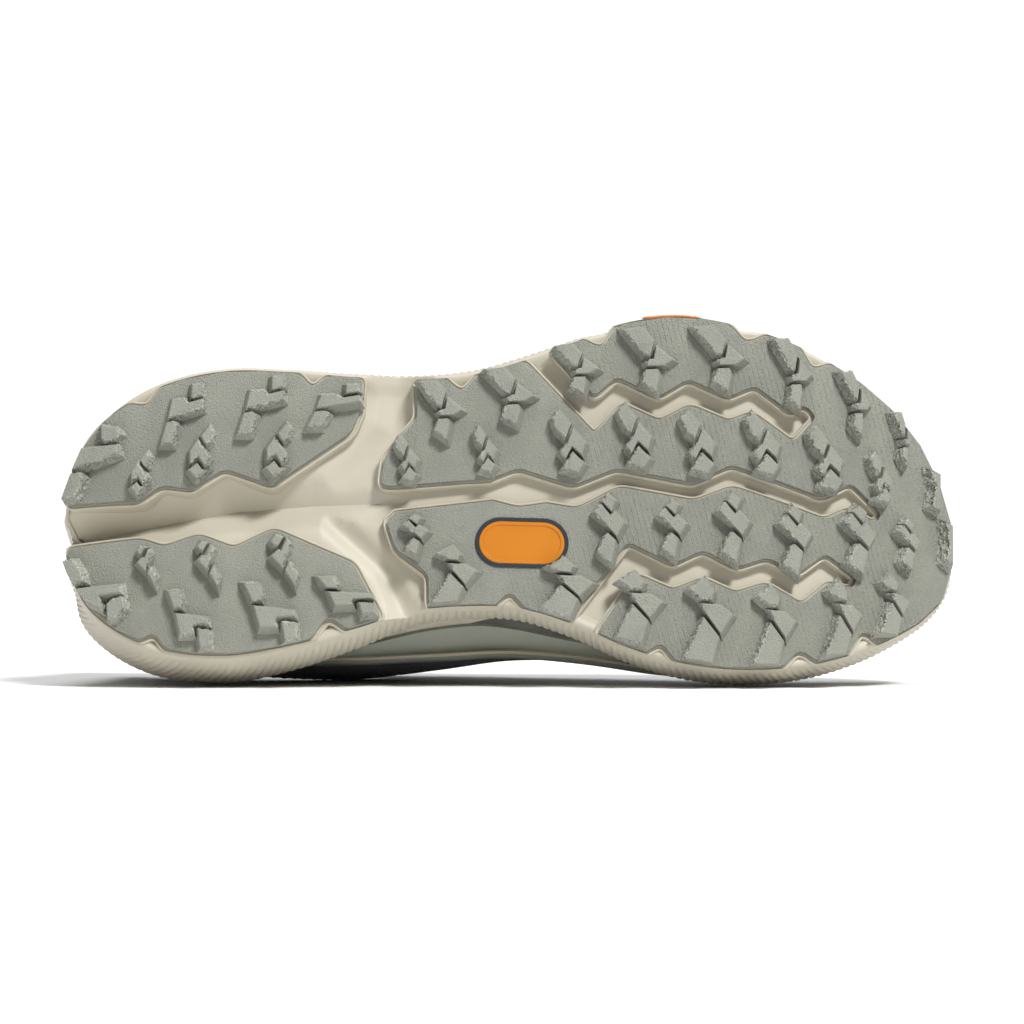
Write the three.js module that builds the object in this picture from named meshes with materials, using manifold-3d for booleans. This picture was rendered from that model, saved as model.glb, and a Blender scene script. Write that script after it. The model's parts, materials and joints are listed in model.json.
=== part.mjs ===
// A right trail running shoe that lies on its medial side, in millimetres.
// It is drawn standing: x runs from heel to toe, +y is the medial side, and z = 0 is the ground.
// The last lines lay it down on the three places that touch the floor.
import * as THREE from "three";
import { mergeVertices } from "three/addons/utils/BufferGeometryUtils.js";
import Module from "manifold-3d";

const wasm = await Module();
wasm.setup();

// Sole sizes
const soleLength = 300;
const ballWidth = 120;
const heelStack = 31;
const ballStack = 25;
const lastToeSpring = 12;
const treadToeLift = 30;
const treadHeelLift = 9;
const toeLiftStart = 190;
const heelLiftEnd = 52;
const lugDepth = 4.5;
const lugDraft = 0.4;
const sipeWidth = 0.5;
const rubberThickness = 2.2;
const wallHeight = 44;
const ribPitch = 12;
const ribDepth = 0.5;
const channelDepth = 13;
const troughDepth = 5;
const troughWidth = 26;
const clearance = 0.3;

// Upper sizes
const upperWall = 2.2;
const collarPadding = 4.5;
const instepHeight = 132;
const heelCentre = 36;
const toeCentre = 245;
const heelBack = 7.5;
const toeTip = 295;
const toeSkew = 5;
const toeFall = 5;
const girthRise = 11;
const achillesDip = 3;
const achillesHeight = 84;
const achillesSpread = 15;
const endSquareness = 2.25;
const paddingLow = 50;
const paddingFull = 78;
const paddingBack = 70;
const bottomMargin = 11;
const heelTabHeight = 108;
const tongueThickness = 5;
const tongueWidth = 54;
const tongueTop = 98;
const tongueWaist = 20;
const tongueOverlap = 8;
const insoleThickness = 4.5;
const overlayThickness = 1.4;
const randHeight = 7;
const randThickness = 2;
const randTuck = 5;
const counterHeight = 34;
const counterFull = 20;
const counterEnd = 78;
const toeCapStart = 252;
const toeCapSweep = 8;
const throatStart = 112;
const throatEnd = 202;
const throatWidth = 34;
const throatDepth = 25;
const eyestayWidth = 14;
const laceWidth = 5;
const laceThickness = 1.8;
const laceRows = 5;
const firstLace = 8;
const lastLace = 14;

// Sole badges
const badgeLength = 31;
const badgeWidth = 17;
const badgeThickness = 1.4;
const badgeFrameWidth = 1.3;
const badgeAlong = 0.513;
const badgeAcross = 0.107;
const badgeTurn = 0.03;
const sideBadgeLength = 19;
const sideBadgeHeight = 7;
const sideWrapLength = 42;
const sideWrapHeight = 17;
const sideWrapThickness = 1.2;
const sideWrapAlong = 0.678;

// How finely the curved forms are cut
const fanSteps = 8;
const sideSteps = 10;
const profileSteps = 8;
const outlineSteps = 52;

// Tread outline and side wall. along is a share of soleLength, lateral, medial and the two flares
// are shares of ballWidth from the centre line, and wall is a share of wallHeight.
const soleTable = [
  { along: 0.024, lateral: 0.189, medial: 0.242, flareLateral: 0.006, flareMedial: 0.01, wall: 1.04 },
  { along: 0.056, lateral: 0.274, medial: 0.328, flareLateral: 0.024, flareMedial: 0.032, wall: 1.02 },
  { along: 0.11, lateral: 0.346, medial: 0.397, flareLateral: 0.04, flareMedial: 0.04, wall: 1 },
  { along: 0.183, lateral: 0.387, medial: 0.42, flareLateral: 0.04, flareMedial: 0.04, wall: 0.97 },
  { along: 0.256, lateral: 0.384, medial: 0.392, flareLateral: 0.04, flareMedial: 0.036, wall: 0.92 },
  { along: 0.324, lateral: 0.37, medial: 0.347, flareLateral: 0.042, flareMedial: 0.026, wall: 0.86 },
  { along: 0.394, lateral: 0.362, medial: 0.293, flareLateral: 0.044, flareMedial: 0.012, wall: 0.8 },
  { along: 0.458, lateral: 0.376, medial: 0.279, flareLateral: 0.044, flareMedial: 0.006, wall: 0.77 },
  { along: 0.509, lateral: 0.412, medial: 0.285, flareLateral: 0.042, flareMedial: 0.006, wall: 0.77 },
  { along: 0.571, lateral: 0.47, medial: 0.332, flareLateral: 0.036, flareMedial: 0.01, wall: 0.78 },
  { along: 0.633, lateral: 0.528, medial: 0.4, flareLateral: 0.03, flareMedial: 0.014, wall: 0.78 },
  { along: 0.694, lateral: 0.545, medial: 0.443, flareLateral: 0.026, flareMedial: 0.016, wall: 0.78 },
  { along: 0.756, lateral: 0.521, medial: 0.458, flareLateral: 0.02, flareMedial: 0.014, wall: 0.8 },
  { along: 0.824, lateral: 0.469, medial: 0.442, flareLateral: 0.014, flareMedial: 0.01, wall: 0.84 },
  { along: 0.88, lateral: 0.4, medial: 0.4, flareLateral: 0.008, flareMedial: 0.006, wall: 0.9 },
  { along: 0.93, lateral: 0.312, medial: 0.338, flareLateral: 0.002, flareMedial: 0.002, wall: 0.97 },
  { along: 0.97, lateral: 0.193, medial: 0.264, flareLateral: 0, flareMedial: 0, wall: 1.03 },
  { along: 0.991, lateral: 0.072, medial: 0.187, flareLateral: 0, flareMedial: 0, wall: 1.06 },
];
const heelEnd = { along: 0.003, across: 0.05 };
const toeEnd = { along: 1, across: 0.054 };

// Side wall of the midsole, from below the rubber to above the rim that is cut from it: rise is a
// share of the wall's height, flare a share of the flare there, inset a share of ballWidth inwards.
const wallTable = [
  { rise: -0.3, flare: 0, inset: 0.01, ribbed: 0 },
  { rise: 0.28, flare: 0.8, inset: 0, ribbed: 1 },
  { rise: 0.68, flare: 1, inset: 0.002, ribbed: 1 },
  { rise: 1.2, flare: 0.2, inset: 0.04, ribbed: 0 },
];

// Outer face of the upper. lateral and medial are shares of ballWidth from the centre line, ridge is
// a share of instepHeight, and square is how square the section is.
const lastTable = [
  { along: 0.12, lateral: 0.292, medial: 0.322, ridge: 1, square: 3.2 },
  { along: 0.22, lateral: 0.305, medial: 0.352, ridge: 1, square: 3.1 },
  { along: 0.32, lateral: 0.312, medial: 0.362, ridge: 0.955, square: 2.9 },
  { along: 0.42, lateral: 0.322, medial: 0.357, ridge: 0.855, square: 2.6 },
  { along: 0.5, lateral: 0.348, medial: 0.35, ridge: 0.75, square: 2.4 },
  { along: 0.58, lateral: 0.396, medial: 0.366, ridge: 0.655, square: 2.35 },
  { along: 0.66, lateral: 0.446, medial: 0.396, ridge: 0.575, square: 2.35 },
  { along: 0.74, lateral: 0.466, medial: 0.418, ridge: 0.505, square: 2.45 },
  { along: 0.82, lateral: 0.448, medial: 0.41, ridge: 0.455, square: 2.55 },
];

// Top line of the collar, seen from the side: along a share of soleLength, height of heelTabHeight
const collarLine = [
  { along: 0.01, height: 1 },
  { along: 0.05, height: 1.01 },
  { along: 0.085, height: 0.93 },
  { along: 0.14, height: 0.82 },
  { along: 0.21, height: 0.775 },
  { along: 0.29, height: 0.8 },
  { along: 0.345, height: 0.9 },
  { along: 0.372, height: 1.02 },
];

// Edges of the cream channel and saddle between the rubber pieces, as shares of soleLength and
// ballWidth, each from the heel or the lateral edge onwards
const heelLateralEdge = [
  [-0.03, -0.02],
  [0.09, -0.02],
  [0.113, -0.061],
  [0.147, -0.049],
  [0.184, -0.106],
  [0.237, -0.06],
  [0.324, -0.211],
  [0.333, -0.27],
  [0.342, -0.62],
];
const waistLateralEdge = [
  [0.392, -0.62],
  [0.397, -0.252],
  [0.361, -0.144],
  [0.357, -0.064],
  [0.372, -0.05],
  [0.372, 0.024],
  [0.363, 0.041],
  [0.374, 0.124],
  [0.41, 0.193],
  [0.413, 0.62],
];
const heelMedialEdge = [
  [0.368, 0.62],
  [0.361, 0.329],
  [0.327, 0.164],
  [0.239, 0.067],
  [0.195, 0.121],
  [0.156, 0.084],
  [0.117, 0.116],
  [0.09, 0.092],
  [-0.03, 0.112],
];

// Between the heel's rubber pieces and the forefoot's, and between the heel's two, as shares
const heelPodsEnd = 0.352;
const heelPodsLine = 0.03;

// Zigzag grooves through the forefoot rubber: along and across as shares, width in millimetres
const grooves = [
  [
    { along: 0.485, across: -0.56, width: 9.3 },
    { along: 0.594, across: -0.26, width: 9 },
    { along: 0.622, across: -0.332, width: 7.9 },
    { along: 0.666, across: -0.278, width: 7.6 },
    { along: 0.7, across: -0.327, width: 8.3 },
    { along: 0.744, across: -0.279, width: 7.9 },
    { along: 0.772, across: -0.31, width: 8.3 },
    { along: 0.815, across: -0.233, width: 7.9 },
    { along: 0.836, across: -0.284, width: 5.9 },
  ],
  [
    { along: 0.35, across: -0.014, width: 9.3 },
    { along: 0.48, across: -0.045, width: 7.9 },
    { along: 0.509, across: -0.051, width: 13.8 },
    { along: 0.543, across: -0.042, width: 9 },
    { along: 0.573, across: -0.025, width: 7.9 },
    { along: 0.62, across: -0.08, width: 6.5 },
    { along: 0.703, across: -0.04, width: 6.2 },
    { along: 0.747, across: -0.087, width: 7.2 },
    { along: 0.849, across: -0.004, width: 6.9 },
    { along: 0.88, across: -0.047, width: 7.6 },
    { along: 0.912, across: 0.009, width: 4.1 },
  ],
  [
    { along: 0.549, across: 0.45, width: 10.7 },
    { along: 0.635, across: 0.15, width: 9 },
    { along: 0.68, across: 0.204, width: 8.3 },
    { along: 0.713, across: 0.167, width: 9 },
    { along: 0.75, across: 0.211, width: 8.3 },
    { along: 0.784, across: 0.181, width: 8.3 },
    { along: 0.821, across: 0.229, width: 9 },
    { along: 0.852, across: 0.165, width: 8.3 },
    { along: 0.883, across: 0.202, width: 4.8 },
  ],
];

// Notches in the rubber's edge where the midsole shows: width and depth in millimetres
const notches = [
  { along: 0.091, side: -1, width: 11.5, depth: 4 },
  { along: 0.28, side: -1, width: 10.1, depth: 4 },
  { along: 0.446, side: -1, width: 11.5, depth: 4.4 },
  { along: 0.6, side: -1, width: 11.5, depth: 4.7 },
  { along: 0.767, side: -1, width: 13.5, depth: 4.4 },
  { along: 0.843, side: -1, width: 11.5, depth: 4.7 },
  { along: 0.106, side: 1, width: 9.4, depth: 3.7 },
  { along: 0.301, side: 1, width: 11.5, depth: 5.1 },
  { along: 0.5, side: 1, width: 9.4, depth: 3.7 },
  { along: 0.665, side: 1, width: 9.4, depth: 3.7 },
  { along: 0.82, side: 1, width: 11.5, depth: 4.4 },
  { along: 0.893, side: 1, width: 10.8, depth: 5.4 },
];

// Blocks of each kind of lug, as shares of the lug's length and width from its heel-lateral corner
const lugKinds = {
  heelLateralHook: [
    [[0.69, 0.03], [0.96, 0], [0.98, 0.23], [0.69, 0.27]],
    [[0.23, 0.26], [0.52, 0.23], [0.67, 0.32], [0.98, 0.27], [1, 0.42], [0.44, 0.53], [0.15, 0.58]],
    [[0.13, 0.61], [0.31, 0.58], [0.44, 0.66], [0.4, 0.77], [0.29, 1], [0, 0.98]],
  ],
  heelMedialHook: [
    [[0, 0.02], [0.29, 0], [0.39, 0.23], [0.36, 0.35], [0.16, 0.34]],
    [[0.18, 0.39], [0.93, 0.47], [0.95, 0.56], [0.63, 0.56], [0.57, 0.65], [0.61, 0.77], [0.29, 0.76]],
    [[0.68, 0.63], [0.96, 0.65], [1, 0.95], [0.75, 1]],
  ],
  heelLateralBend: [
    [[0.44, 0.21], [0.81, 0], [1, 0.11], [0.93, 0.3], [0.7, 0.39], [0.59, 0.35]],
    [[0.04, 0.46], [0.37, 0.25], [0.89, 0.6], [0.67, 0.77], [0.37, 0.6], [0.07, 0.72]],
    [[0.37, 0.67], [0.63, 0.81], [0.85, 0.82], [0.3, 1], [0, 0.82]],
  ],
  heelMedialBend: [
    [[0, 0.15], [0.21, 0], [0.52, 0.07], [0.34, 0.26], [0.14, 0.26]],
    [[0.03, 0.44], [0.21, 0.31], [0.38, 0.3], [0.59, 0.09], [0.72, 0.17], [0.62, 0.43], [0.45, 0.67]],
    [[0.66, 0.5], [1, 0.78], [0.9, 1], [0.48, 0.67]],
  ],
  cornerLateral: [
    [[0.62, 0], [0.9, 0.05], [0.98, 0.16], [0.92, 0.23], [0.69, 0.27], [0.62, 0.21]],
    [[0.3, 0.31], [0.9, 0.29], [0.95, 0.42], [0.49, 0.55], [0.16, 0.6]],
    [[0.15, 0.64], [0.3, 0.62], [0.39, 0.71], [0.23, 1], [0, 1], [0.07, 0.78]],
  ],
  cornerMedial: [
    [[0, 0.03], [0.18, 0], [0.33, 0.21], [0.36, 0.37], [0.18, 0.41], [0.06, 0.22]],
    [[0.21, 0.46], [0.91, 0.43], [0.94, 0.56], [0.61, 0.59], [0.61, 0.81], [0.35, 0.68]],
    [[0.68, 0.7], [0.76, 0.63], [0.94, 0.6], [1, 0.78], [0.8, 0.96], [0.7, 0.98]],
  ],
  foreLateral: [
    [[0.02, 0.04], [0.4, 0], [0.66, 0.24], [0.57, 0.46], [0.43, 0.43]],
    [[0.66, 0.27], [1, 0.49], [0.83, 0.59], [0.49, 0.6], [0.43, 0.53], [0.58, 0.47]],
    [[0.45, 0.61], [0.7, 0.6], [0.75, 0.71], [0.66, 0.97], [0.36, 0.83]],
  ],
  foreInnerLateral: [
    [[0, 0.13], [0.22, 0], [0.61, 0.25], [0.44, 0.48], [0.17, 0.37]],
    [[0.61, 0.28], [1, 0.52], [0.89, 0.73], [0.61, 0.61], [0.39, 0.79], [0.22, 0.67], [0.44, 0.49]],
    [[0.61, 0.64], [0.97, 0.84], [0.78, 1], [0.28, 0.93], [0.39, 0.81]],
  ],
  foreInnerMedial: [
    [[0.24, 0.13], [0.44, 0], [0.74, 0.11], [0.59, 0.29]],
    [[0, 0.26], [0.24, 0.13], [0.56, 0.29], [0.68, 0.24], [1, 0.43], [0.74, 0.63], [0.47, 0.5]],
    [[0.26, 0.64], [0.47, 0.53], [0.74, 0.64], [0.56, 1], [0.12, 0.85]],
  ],
  foreMedial: [
    [[0.09, 0.15], [0.43, 0], [0.64, 0.17], [0.59, 0.28], [0.34, 0.27]],
    [[0.36, 0.3], [0.75, 0.31], [1, 0.44], [0.73, 0.67], [0.43, 0.44]],
    [[0.41, 0.44], [0.73, 0.67], [0.57, 1], [0, 0.98], [0.2, 0.67]],
  ],
  toeBar: [[[0.2, 0], [0.9, 0.06], [1, 0.5], [0.8, 1], [0.1, 0.94], [0.3, 0.5]]],
};

// Lugs: centre as shares of soleLength and ballWidth, length and width in millimetres
const lugs = [
  { kind: "cornerLateral", along: 0.039, across: -0.132, length: 20.6, width: 25.2 },
  { kind: "heelLateralHook", along: 0.137, across: -0.256, length: 14.2, width: 22.1 },
  { kind: "heelLateralHook", along: 0.224, across: -0.281, length: 16.2, width: 21.4 },
  { kind: "heelLateralHook", along: 0.305, across: -0.279, length: 18.5, width: 15.9 },
  { kind: "heelLateralBend", along: 0.092, across: -0.09, length: 7.1, width: 15.2 },
  { kind: "heelLateralBend", along: 0.158, across: -0.145, length: 8.8, width: 19 },
  { kind: "heelLateralBend", along: 0.243, across: -0.151, length: 9.1, width: 19.6 },
  { kind: "cornerMedial", along: 0.044, across: 0.238, length: 22.2, width: 23.4 },
  { kind: "heelMedialHook", along: 0.148, across: 0.33, length: 14.8, width: 21.4 },
  { kind: "heelMedialHook", along: 0.237, across: 0.31, length: 18.9, width: 21.4 },
  { kind: "heelMedialHook", along: 0.32, across: 0.264, length: 20.2, width: 13.8 },
  { kind: "heelMedialBend", along: 0.101, across: 0.175, length: 7.4, width: 14.5 },
  { kind: "heelMedialBend", along: 0.168, across: 0.174, length: 8.4, width: 16.9 },
  { kind: "heelMedialBend", along: 0.251, across: 0.164, length: 9.8, width: 18.6 },
  { kind: "foreLateral", along: 0.422, across: -0.264, length: 15.2, width: 22.1 },
  { kind: "foreLateral", along: 0.498, across: -0.304, length: 17.9, width: 21.4 },
  { kind: "foreLateral", along: 0.573, across: -0.382, length: 16.2, width: 19.3 },
  { kind: "foreLateral", along: 0.653, across: -0.408, length: 17.9, width: 24.1 },
  { kind: "foreLateral", along: 0.732, across: -0.413, length: 17.9, width: 24.5 },
  { kind: "foreLateral", along: 0.813, across: -0.375, length: 13.5, width: 26.5 },
  { kind: "foreLateral", along: 0.882, across: -0.304, length: 11.1, width: 24.1 },
  { kind: "foreLateral", along: 0.935, across: -0.219, length: 6.7, width: 20 },
  { kind: "toeBar", along: 0.971, across: -0.087, length: 4, width: 14.5 },
  { kind: "toeBar", along: 0.985, across: 0.06, length: 3, width: 15.5 },
  { kind: "foreInnerLateral", along: 0.385, across: -0.126, length: 8.4, width: 16.5 },
  { kind: "foreInnerLateral", along: 0.472, across: -0.152, length: 8.4, width: 16.5 },
  { kind: "foreInnerLateral", along: 0.565, across: -0.175, length: 12.1, width: 22.7 },
  { kind: "foreInnerLateral", along: 0.638, across: -0.191, length: 12.1, width: 23.1 },
  { kind: "foreInnerLateral", along: 0.708, across: -0.173, length: 12.1, width: 22.7 },
  { kind: "foreInnerLateral", along: 0.779, across: -0.173, length: 12.1, width: 22.7 },
  { kind: "foreInnerLateral", along: 0.848, across: -0.14, length: 12.1, width: 22.7 },
  { kind: "foreInnerLateral", along: 0.909, across: -0.099, length: 7.8, width: 18.3 },
  { kind: "foreInnerMedial", along: 0.395, across: 0.092, length: 9.1, width: 14.5 },
  { kind: "foreInnerMedial", along: 0.609, across: 0.075, length: 11.1, width: 24.8 },
  { kind: "foreInnerMedial", along: 0.679, across: 0.075, length: 10.1, width: 20.7 },
  { kind: "foreInnerMedial", along: 0.746, across: 0.07, length: 11.5, width: 24.8 },
  { kind: "foreInnerMedial", along: 0.813, across: 0.1, length: 11.5, width: 24.8 },
  { kind: "foreInnerMedial", along: 0.884, across: 0.086, length: 11.5, width: 24.8 },
  { kind: "foreInnerMedial", along: 0.939, across: 0.083, length: 8.1, width: 18.3 },
  { kind: "foreMedial", along: 0.439, across: 0.207, length: 15.2, width: 21.4 },
  { kind: "foreMedial", along: 0.562, across: 0.241, length: 18.5, width: 21.4 },
  { kind: "foreMedial", along: 0.64, across: 0.297, length: 17.2, width: 25.2 },
  { kind: "foreMedial", along: 0.717, across: 0.334, length: 16.9, width: 30 },
  { kind: "foreMedial", along: 0.789, across: 0.346, length: 14.8, width: 28.3 },
  { kind: "foreMedial", along: 0.864, across: 0.317, length: 12.8, width: 27.6 },
  { kind: "foreMedial", along: 0.921, across: 0.263, length: 10.8, width: 21.7 },
];

// Deep channel up the middle of the heel: half is its half width in millimetres
const channelSections = [
  { along: -0.03, across: 0.08, half: 10, depth: 1 },
  { along: 0.06, across: 0.07, half: 12, depth: 1 },
  { along: 0.2, across: 0.03, half: 15, depth: 0.8 },
  { along: 0.28, across: 0.01, half: 16, depth: 0.6 },
  { along: 0.36, across: -0.01, half: 12, depth: 0.3 },
];

// Tools for tables and solids

// Smooth value of one column of a table at a place along the shoe, in millimetres along
function columnAt(table, column, x) {
  const share = THREE.MathUtils.clamp(x / soleLength, table[0].along, table.at(-1).along);
  const next = Math.max(1, table.findIndex((row) => row.along >= share));
  const [from, to] = [table[next - 1], table[next]];
  const before = table[next - 2] ?? from;
  const after = table[next + 1] ?? to;
  const span = to.along - from.along;
  const t = (share - from.along) / span;
  const leaveSlope = ((to[column] - before[column]) / (to.along - before.along)) * span;
  const arriveSlope = ((after[column] - from[column]) / (after.along - from.along)) * span;
  const squared = t * t;
  const cubed = squared * t;
  return (
    (2 * cubed - 3 * squared + 1) * from[column] +
    (cubed - 2 * squared + t) * leaveSlope +
    (3 * squared - 2 * cubed) * to[column] +
    (cubed - squared) * arriveSlope
  );
}

function solidOf(geometry) {
  const bare = new THREE.BufferGeometry();
  bare.setAttribute("position", geometry.getAttribute("position"));
  bare.setIndex(geometry.index);
  const merged = mergeVertices(bare, 1e-4);
  return new wasm.Manifold(
    new wasm.Mesh({
      numProp: 3,
      vertProperties: new Float32Array(merged.attributes.position.array),
      triVerts: new Uint32Array(merged.index.array),
    }),
  );
}

function joined(solids) {
  return solids.reduce((whole, solid) => whole.add(solid));
}

// A closed solid through loops of points that have equally many points each
function skin(loops, capShape) {
  const count = loops[0].length;
  const positions = loops.flat().flatMap((point) => [point.x, point.y, point.z]);
  const triangles = [];
  for (let level = 0; level + 1 < loops.length; level++) {
    for (let i = 0; i < count; i++) {
      const a = level * count + i;
      const b = level * count + ((i + 1) % count);
      triangles.push(a, b, b + count, a, b + count, a + count);
    }
  }
  const lastStart = (loops.length - 1) * count;
  const capOf = (loop) => THREE.ShapeUtils.triangulateShape(loop.map(capShape), []);
  for (const [a, b, c] of capOf(loops[0])) triangles.push(c, b, a);
  for (const [a, b, c] of capOf(loops.at(-1))) triangles.push(lastStart + a, lastStart + b, lastStart + c);
  const geometry = new THREE.BufferGeometry();
  geometry.setAttribute("position", new THREE.Float32BufferAttribute(positions, 3));
  geometry.setIndex(triangles);
  return solidOf(geometry);
}

const seenFromAbove = (point) => new THREE.Vector2(point.x, point.y);
const seenFromToe = (point) => new THREE.Vector2(point.y, point.z);

// A closed outline without the points that lie on a straight stretch of it
function cornersOf(points) {
  return points.filter((point, i) => {
    const before = points.at(i - 1);
    const after = points[(i + 1) % points.length];
    const into = point.clone().sub(before);
    const out = after.clone().sub(point);
    return Math.abs(into.cross(out)) > 1e-4 * into.length() * out.length();
  });
}

function extruded(points, depth) {
  const shape = new THREE.Shape(cornersOf(points));
  return new THREE.ExtrudeGeometry(shape, { depth, bevelEnabled: false });
}

// An upright prism on a plan outline
function prismUp(points, low, high) {
  return solidOf(extruded(points, high - low).translate(0, 0, low));
}

// A prism across the shoe with a side profile whose y is height
function prismAcross(profile, low = -ballWidth, high = ballWidth) {
  const geometry = extruded(profile, high - low).rotateX(Math.PI / 2);
  return solidOf(geometry.translate(0, high, 0));
}

// Plan outlines given as shares
function planPoint([along, across]) {
  return new THREE.Vector2(along * soleLength, across * ballWidth);
}

const tall = 2 * instepHeight;

// Heights along the shoe

function treadHeight(x) {
  const toe = Math.max(0, x - toeLiftStart) / (soleLength - toeLiftStart);
  const heel = Math.max(0, heelLiftEnd - x) / heelLiftEnd;
  return lugDepth + treadToeLift * toe ** 3 + treadHeelLift * heel ** 2;
}

function treadSlope(x) {
  const step = 0.5;
  return (treadHeight(x + step) - treadHeight(x - step)) / (2 * step);
}

function bedHeight(x) {
  const toe = Math.max(0, x - toeLiftStart) / (soleLength - toeLiftStart);
  const drop = THREE.MathUtils.smoothstep(x, heelLiftEnd, toeLiftStart);
  return THREE.MathUtils.lerp(heelStack, ballStack, drop) + lastToeSpring * toe ** 2;
}

function wallTop(x) {
  return wallHeight * columnAt(soleTable, "wall", x);
}

// Places along the shoe where its curved profiles are cut
const stationShares = [-0.03, 0.03, 0.09, 0.18, 0.35, 0.5, 0.63, 0.72, 0.79, 0.85, 0.9, 0.94, 0.98, 1.04];
const profileStations = stationShares.map((share) => share * soleLength);

// A band across the shoe between two heights that follow it
function bandBetween(lower, upper, low, high) {
  const below = profileStations.map((x) => new THREE.Vector2(x, lower(x)));
  const above = profileStations.map((x) => new THREE.Vector2(x, upper(x))).reverse();
  return prismAcross([...below, ...above], low, high);
}

// Outline of the tread

const outlineRows = [
  new THREE.Vector3(heelEnd.along * soleLength, heelEnd.across * ballWidth, 0),
  ...soleTable.map((row) => new THREE.Vector3(row.along * soleLength, -row.lateral * ballWidth, 0)),
  new THREE.Vector3(toeEnd.along * soleLength, toeEnd.across * ballWidth, 0),
  ...soleTable
    .map((row) => new THREE.Vector3(row.along * soleLength, row.medial * ballWidth, 0))
    .reverse(),
];
const outline = new THREE.CatmullRomCurve3(outlineRows, true, "centripetal");
const outlineLength = outline.getLength();
const ribCount = Math.round(outlineLength / ribPitch);

function outlinePoint(share, grow) {
  const wrapped = ((share % 1) + 1) % 1;
  const point = outline.getPointAt(wrapped);
  const tangent = outline.getTangentAt(wrapped);
  return new THREE.Vector2(point.x + tangent.y * grow, point.y - tangent.x * grow);
}

function outlineLoop(count, grow) {
  return Array.from({ length: count }, (_, i) => outlinePoint(i / count, grow));
}

// Midsole

// The side wall's outer form, grown outwards, with upright ribs that lean with the wall
function soleForm(grow, ribs) {
  const count = 2 * ribCount;
  const loops = wallTable.map((level) =>
    Array.from({ length: count }, (_, i) => {
      const edge = outlinePoint(i / count, 0);
      const side = edge.y < 0 ? "flareLateral" : "flareMedial";
      const lean = ((0.5 - edge.x / soleLength) * level.rise * ribPitch) / outlineLength;
      const flare = level.flare * columnAt(soleTable, side, edge.x) * ballWidth;
      const rib = ribs * level.ribbed * ribDepth * (i % 2 ? 1 : -1);
      const place = outlinePoint(i / count + lean, flare - level.inset * ballWidth + rib + grow);
      const low = treadHeight(place.x) + rubberThickness;
      return new THREE.Vector3(place.x, place.y, THREE.MathUtils.lerp(low, wallTop(place.x), level.rise));
    }),
  );
  return skin(loops, seenFromAbove);
}

// The V channel of the heel, and two troughs that open it to both sides of the waist
function channelCutter() {
  const loops = channelSections.map((row) => {
    const x = row.along * soleLength;
    const y = row.across * ballWidth;
    const mouth = treadHeight(x) - lugDepth;
    const apex = treadHeight(x) + rubberThickness + channelDepth * row.depth;
    return [
      new THREE.Vector3(x, y - row.half, mouth),
      new THREE.Vector3(x, y + row.half, mouth),
      new THREE.Vector3(x, y, apex),
    ];
  });
  return skin(loops, seenFromToe);
}

function troughCutter(from, to) {
  const half = troughWidth / 2;
  const start = planPoint(from);
  const end = planPoint(to);
  const run = end.clone().sub(start);
  const side = new THREE.Vector2(-run.y, run.x).normalize().multiplyScalar(half);
  const mouth = treadHeight(start.x) - lugDepth;
  const apex = treadHeight(start.x) + rubberThickness + troughDepth;
  const loops = [start, end].map((place) => [
    new THREE.Vector3(place.x - side.x, place.y - side.y, mouth),
    new THREE.Vector3(place.x + side.x, place.y + side.y, mouth),
    new THREE.Vector3(place.x, place.y, apex),
  ]);
  const flat = (point) => new THREE.Vector2(point.x * side.x + point.y * side.y, point.z);
  return skin(loops, flat);
}

// Outsole rubber

function ribbonCutter(rows) {
  const centre = rows.map((row) => planPoint([row.along, row.across]));
  const left = [];
  const right = [];
  centre.forEach((place, i) => {
    const before = centre[i - 1] ?? place;
    const after = centre[i + 1] ?? place;
    const into = place.clone().sub(before);
    const out = after.clone().sub(place);
    const normalOf = (run) => new THREE.Vector2(-run.y, run.x).normalize();
    const normal = normalOf(into.length() ? into : out).add(normalOf(out.length() ? out : into));
    const reach = rows[i].width / normal.lengthSq();
    left.push(place.clone().addScaledVector(normal, reach));
    right.push(place.clone().addScaledVector(normal, -reach));
  });
  return prismUp([...right, ...left.reverse()], -tall, tall);
}

function notchCutter(notch) {
  const x = notch.along * soleLength;
  const column = notch.side < 0 ? "lateral" : "medial";
  const edgeAt = (place) => notch.side * columnAt(soleTable, column, place) * ballWidth;
  const half = notch.width / 2;
  const reach = notch.side * notch.depth;
  const points = [
    new THREE.Vector2(x - half, edgeAt(x - half) + reach),
    new THREE.Vector2(x - half, edgeAt(x - half)),
    new THREE.Vector2(x - half / 4, edgeAt(x) - reach),
    new THREE.Vector2(x + half / 4, edgeAt(x) - reach),
    new THREE.Vector2(x + half, edgeAt(x + half)),
    new THREE.Vector2(x + half, edgeAt(x + half) + reach),
  ];
  return prismUp(points, -tall, tall);
}

// One block of a lug, from its flat tip up into the rubber sheet that carries it
function lugBlock(lug, block) {
  const root = rubberThickness / 2;
  const corners = block.map(([u, v]) => {
    const x = lug.along * soleLength + (u - 0.5) * lug.length;
    return new THREE.Vector2(x, lug.across * ballWidth + (v - 0.5) * lug.width);
  });
  const middle = corners.reduce((sum, corner) => sum.add(corner), new THREE.Vector2());
  middle.divideScalar(corners.length);
  const drawnIn = (corner, inset) => corner.clone().lerp(middle, inset / corner.distanceTo(middle));
  const tip = corners.map((corner) => {
    const place = drawnIn(corner, sipeWidth / 2 + lugDraft);
    const slope = treadSlope(place.x);
    const reach = lugDepth / Math.hypot(1, slope);
    return new THREE.Vector3(place.x + reach * slope, place.y, treadHeight(place.x) - reach);
  });
  const foot = corners.map((corner) => {
    const place = drawnIn(corner, sipeWidth / 2);
    return new THREE.Vector3(place.x, place.y, treadHeight(place.x) + root);
  });
  return skin([tip, foot], seenFromAbove);
}

function lugSolid(lug) {
  return joined(lugKinds[lug.kind].map((block) => lugBlock(lug, block)));
}

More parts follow.
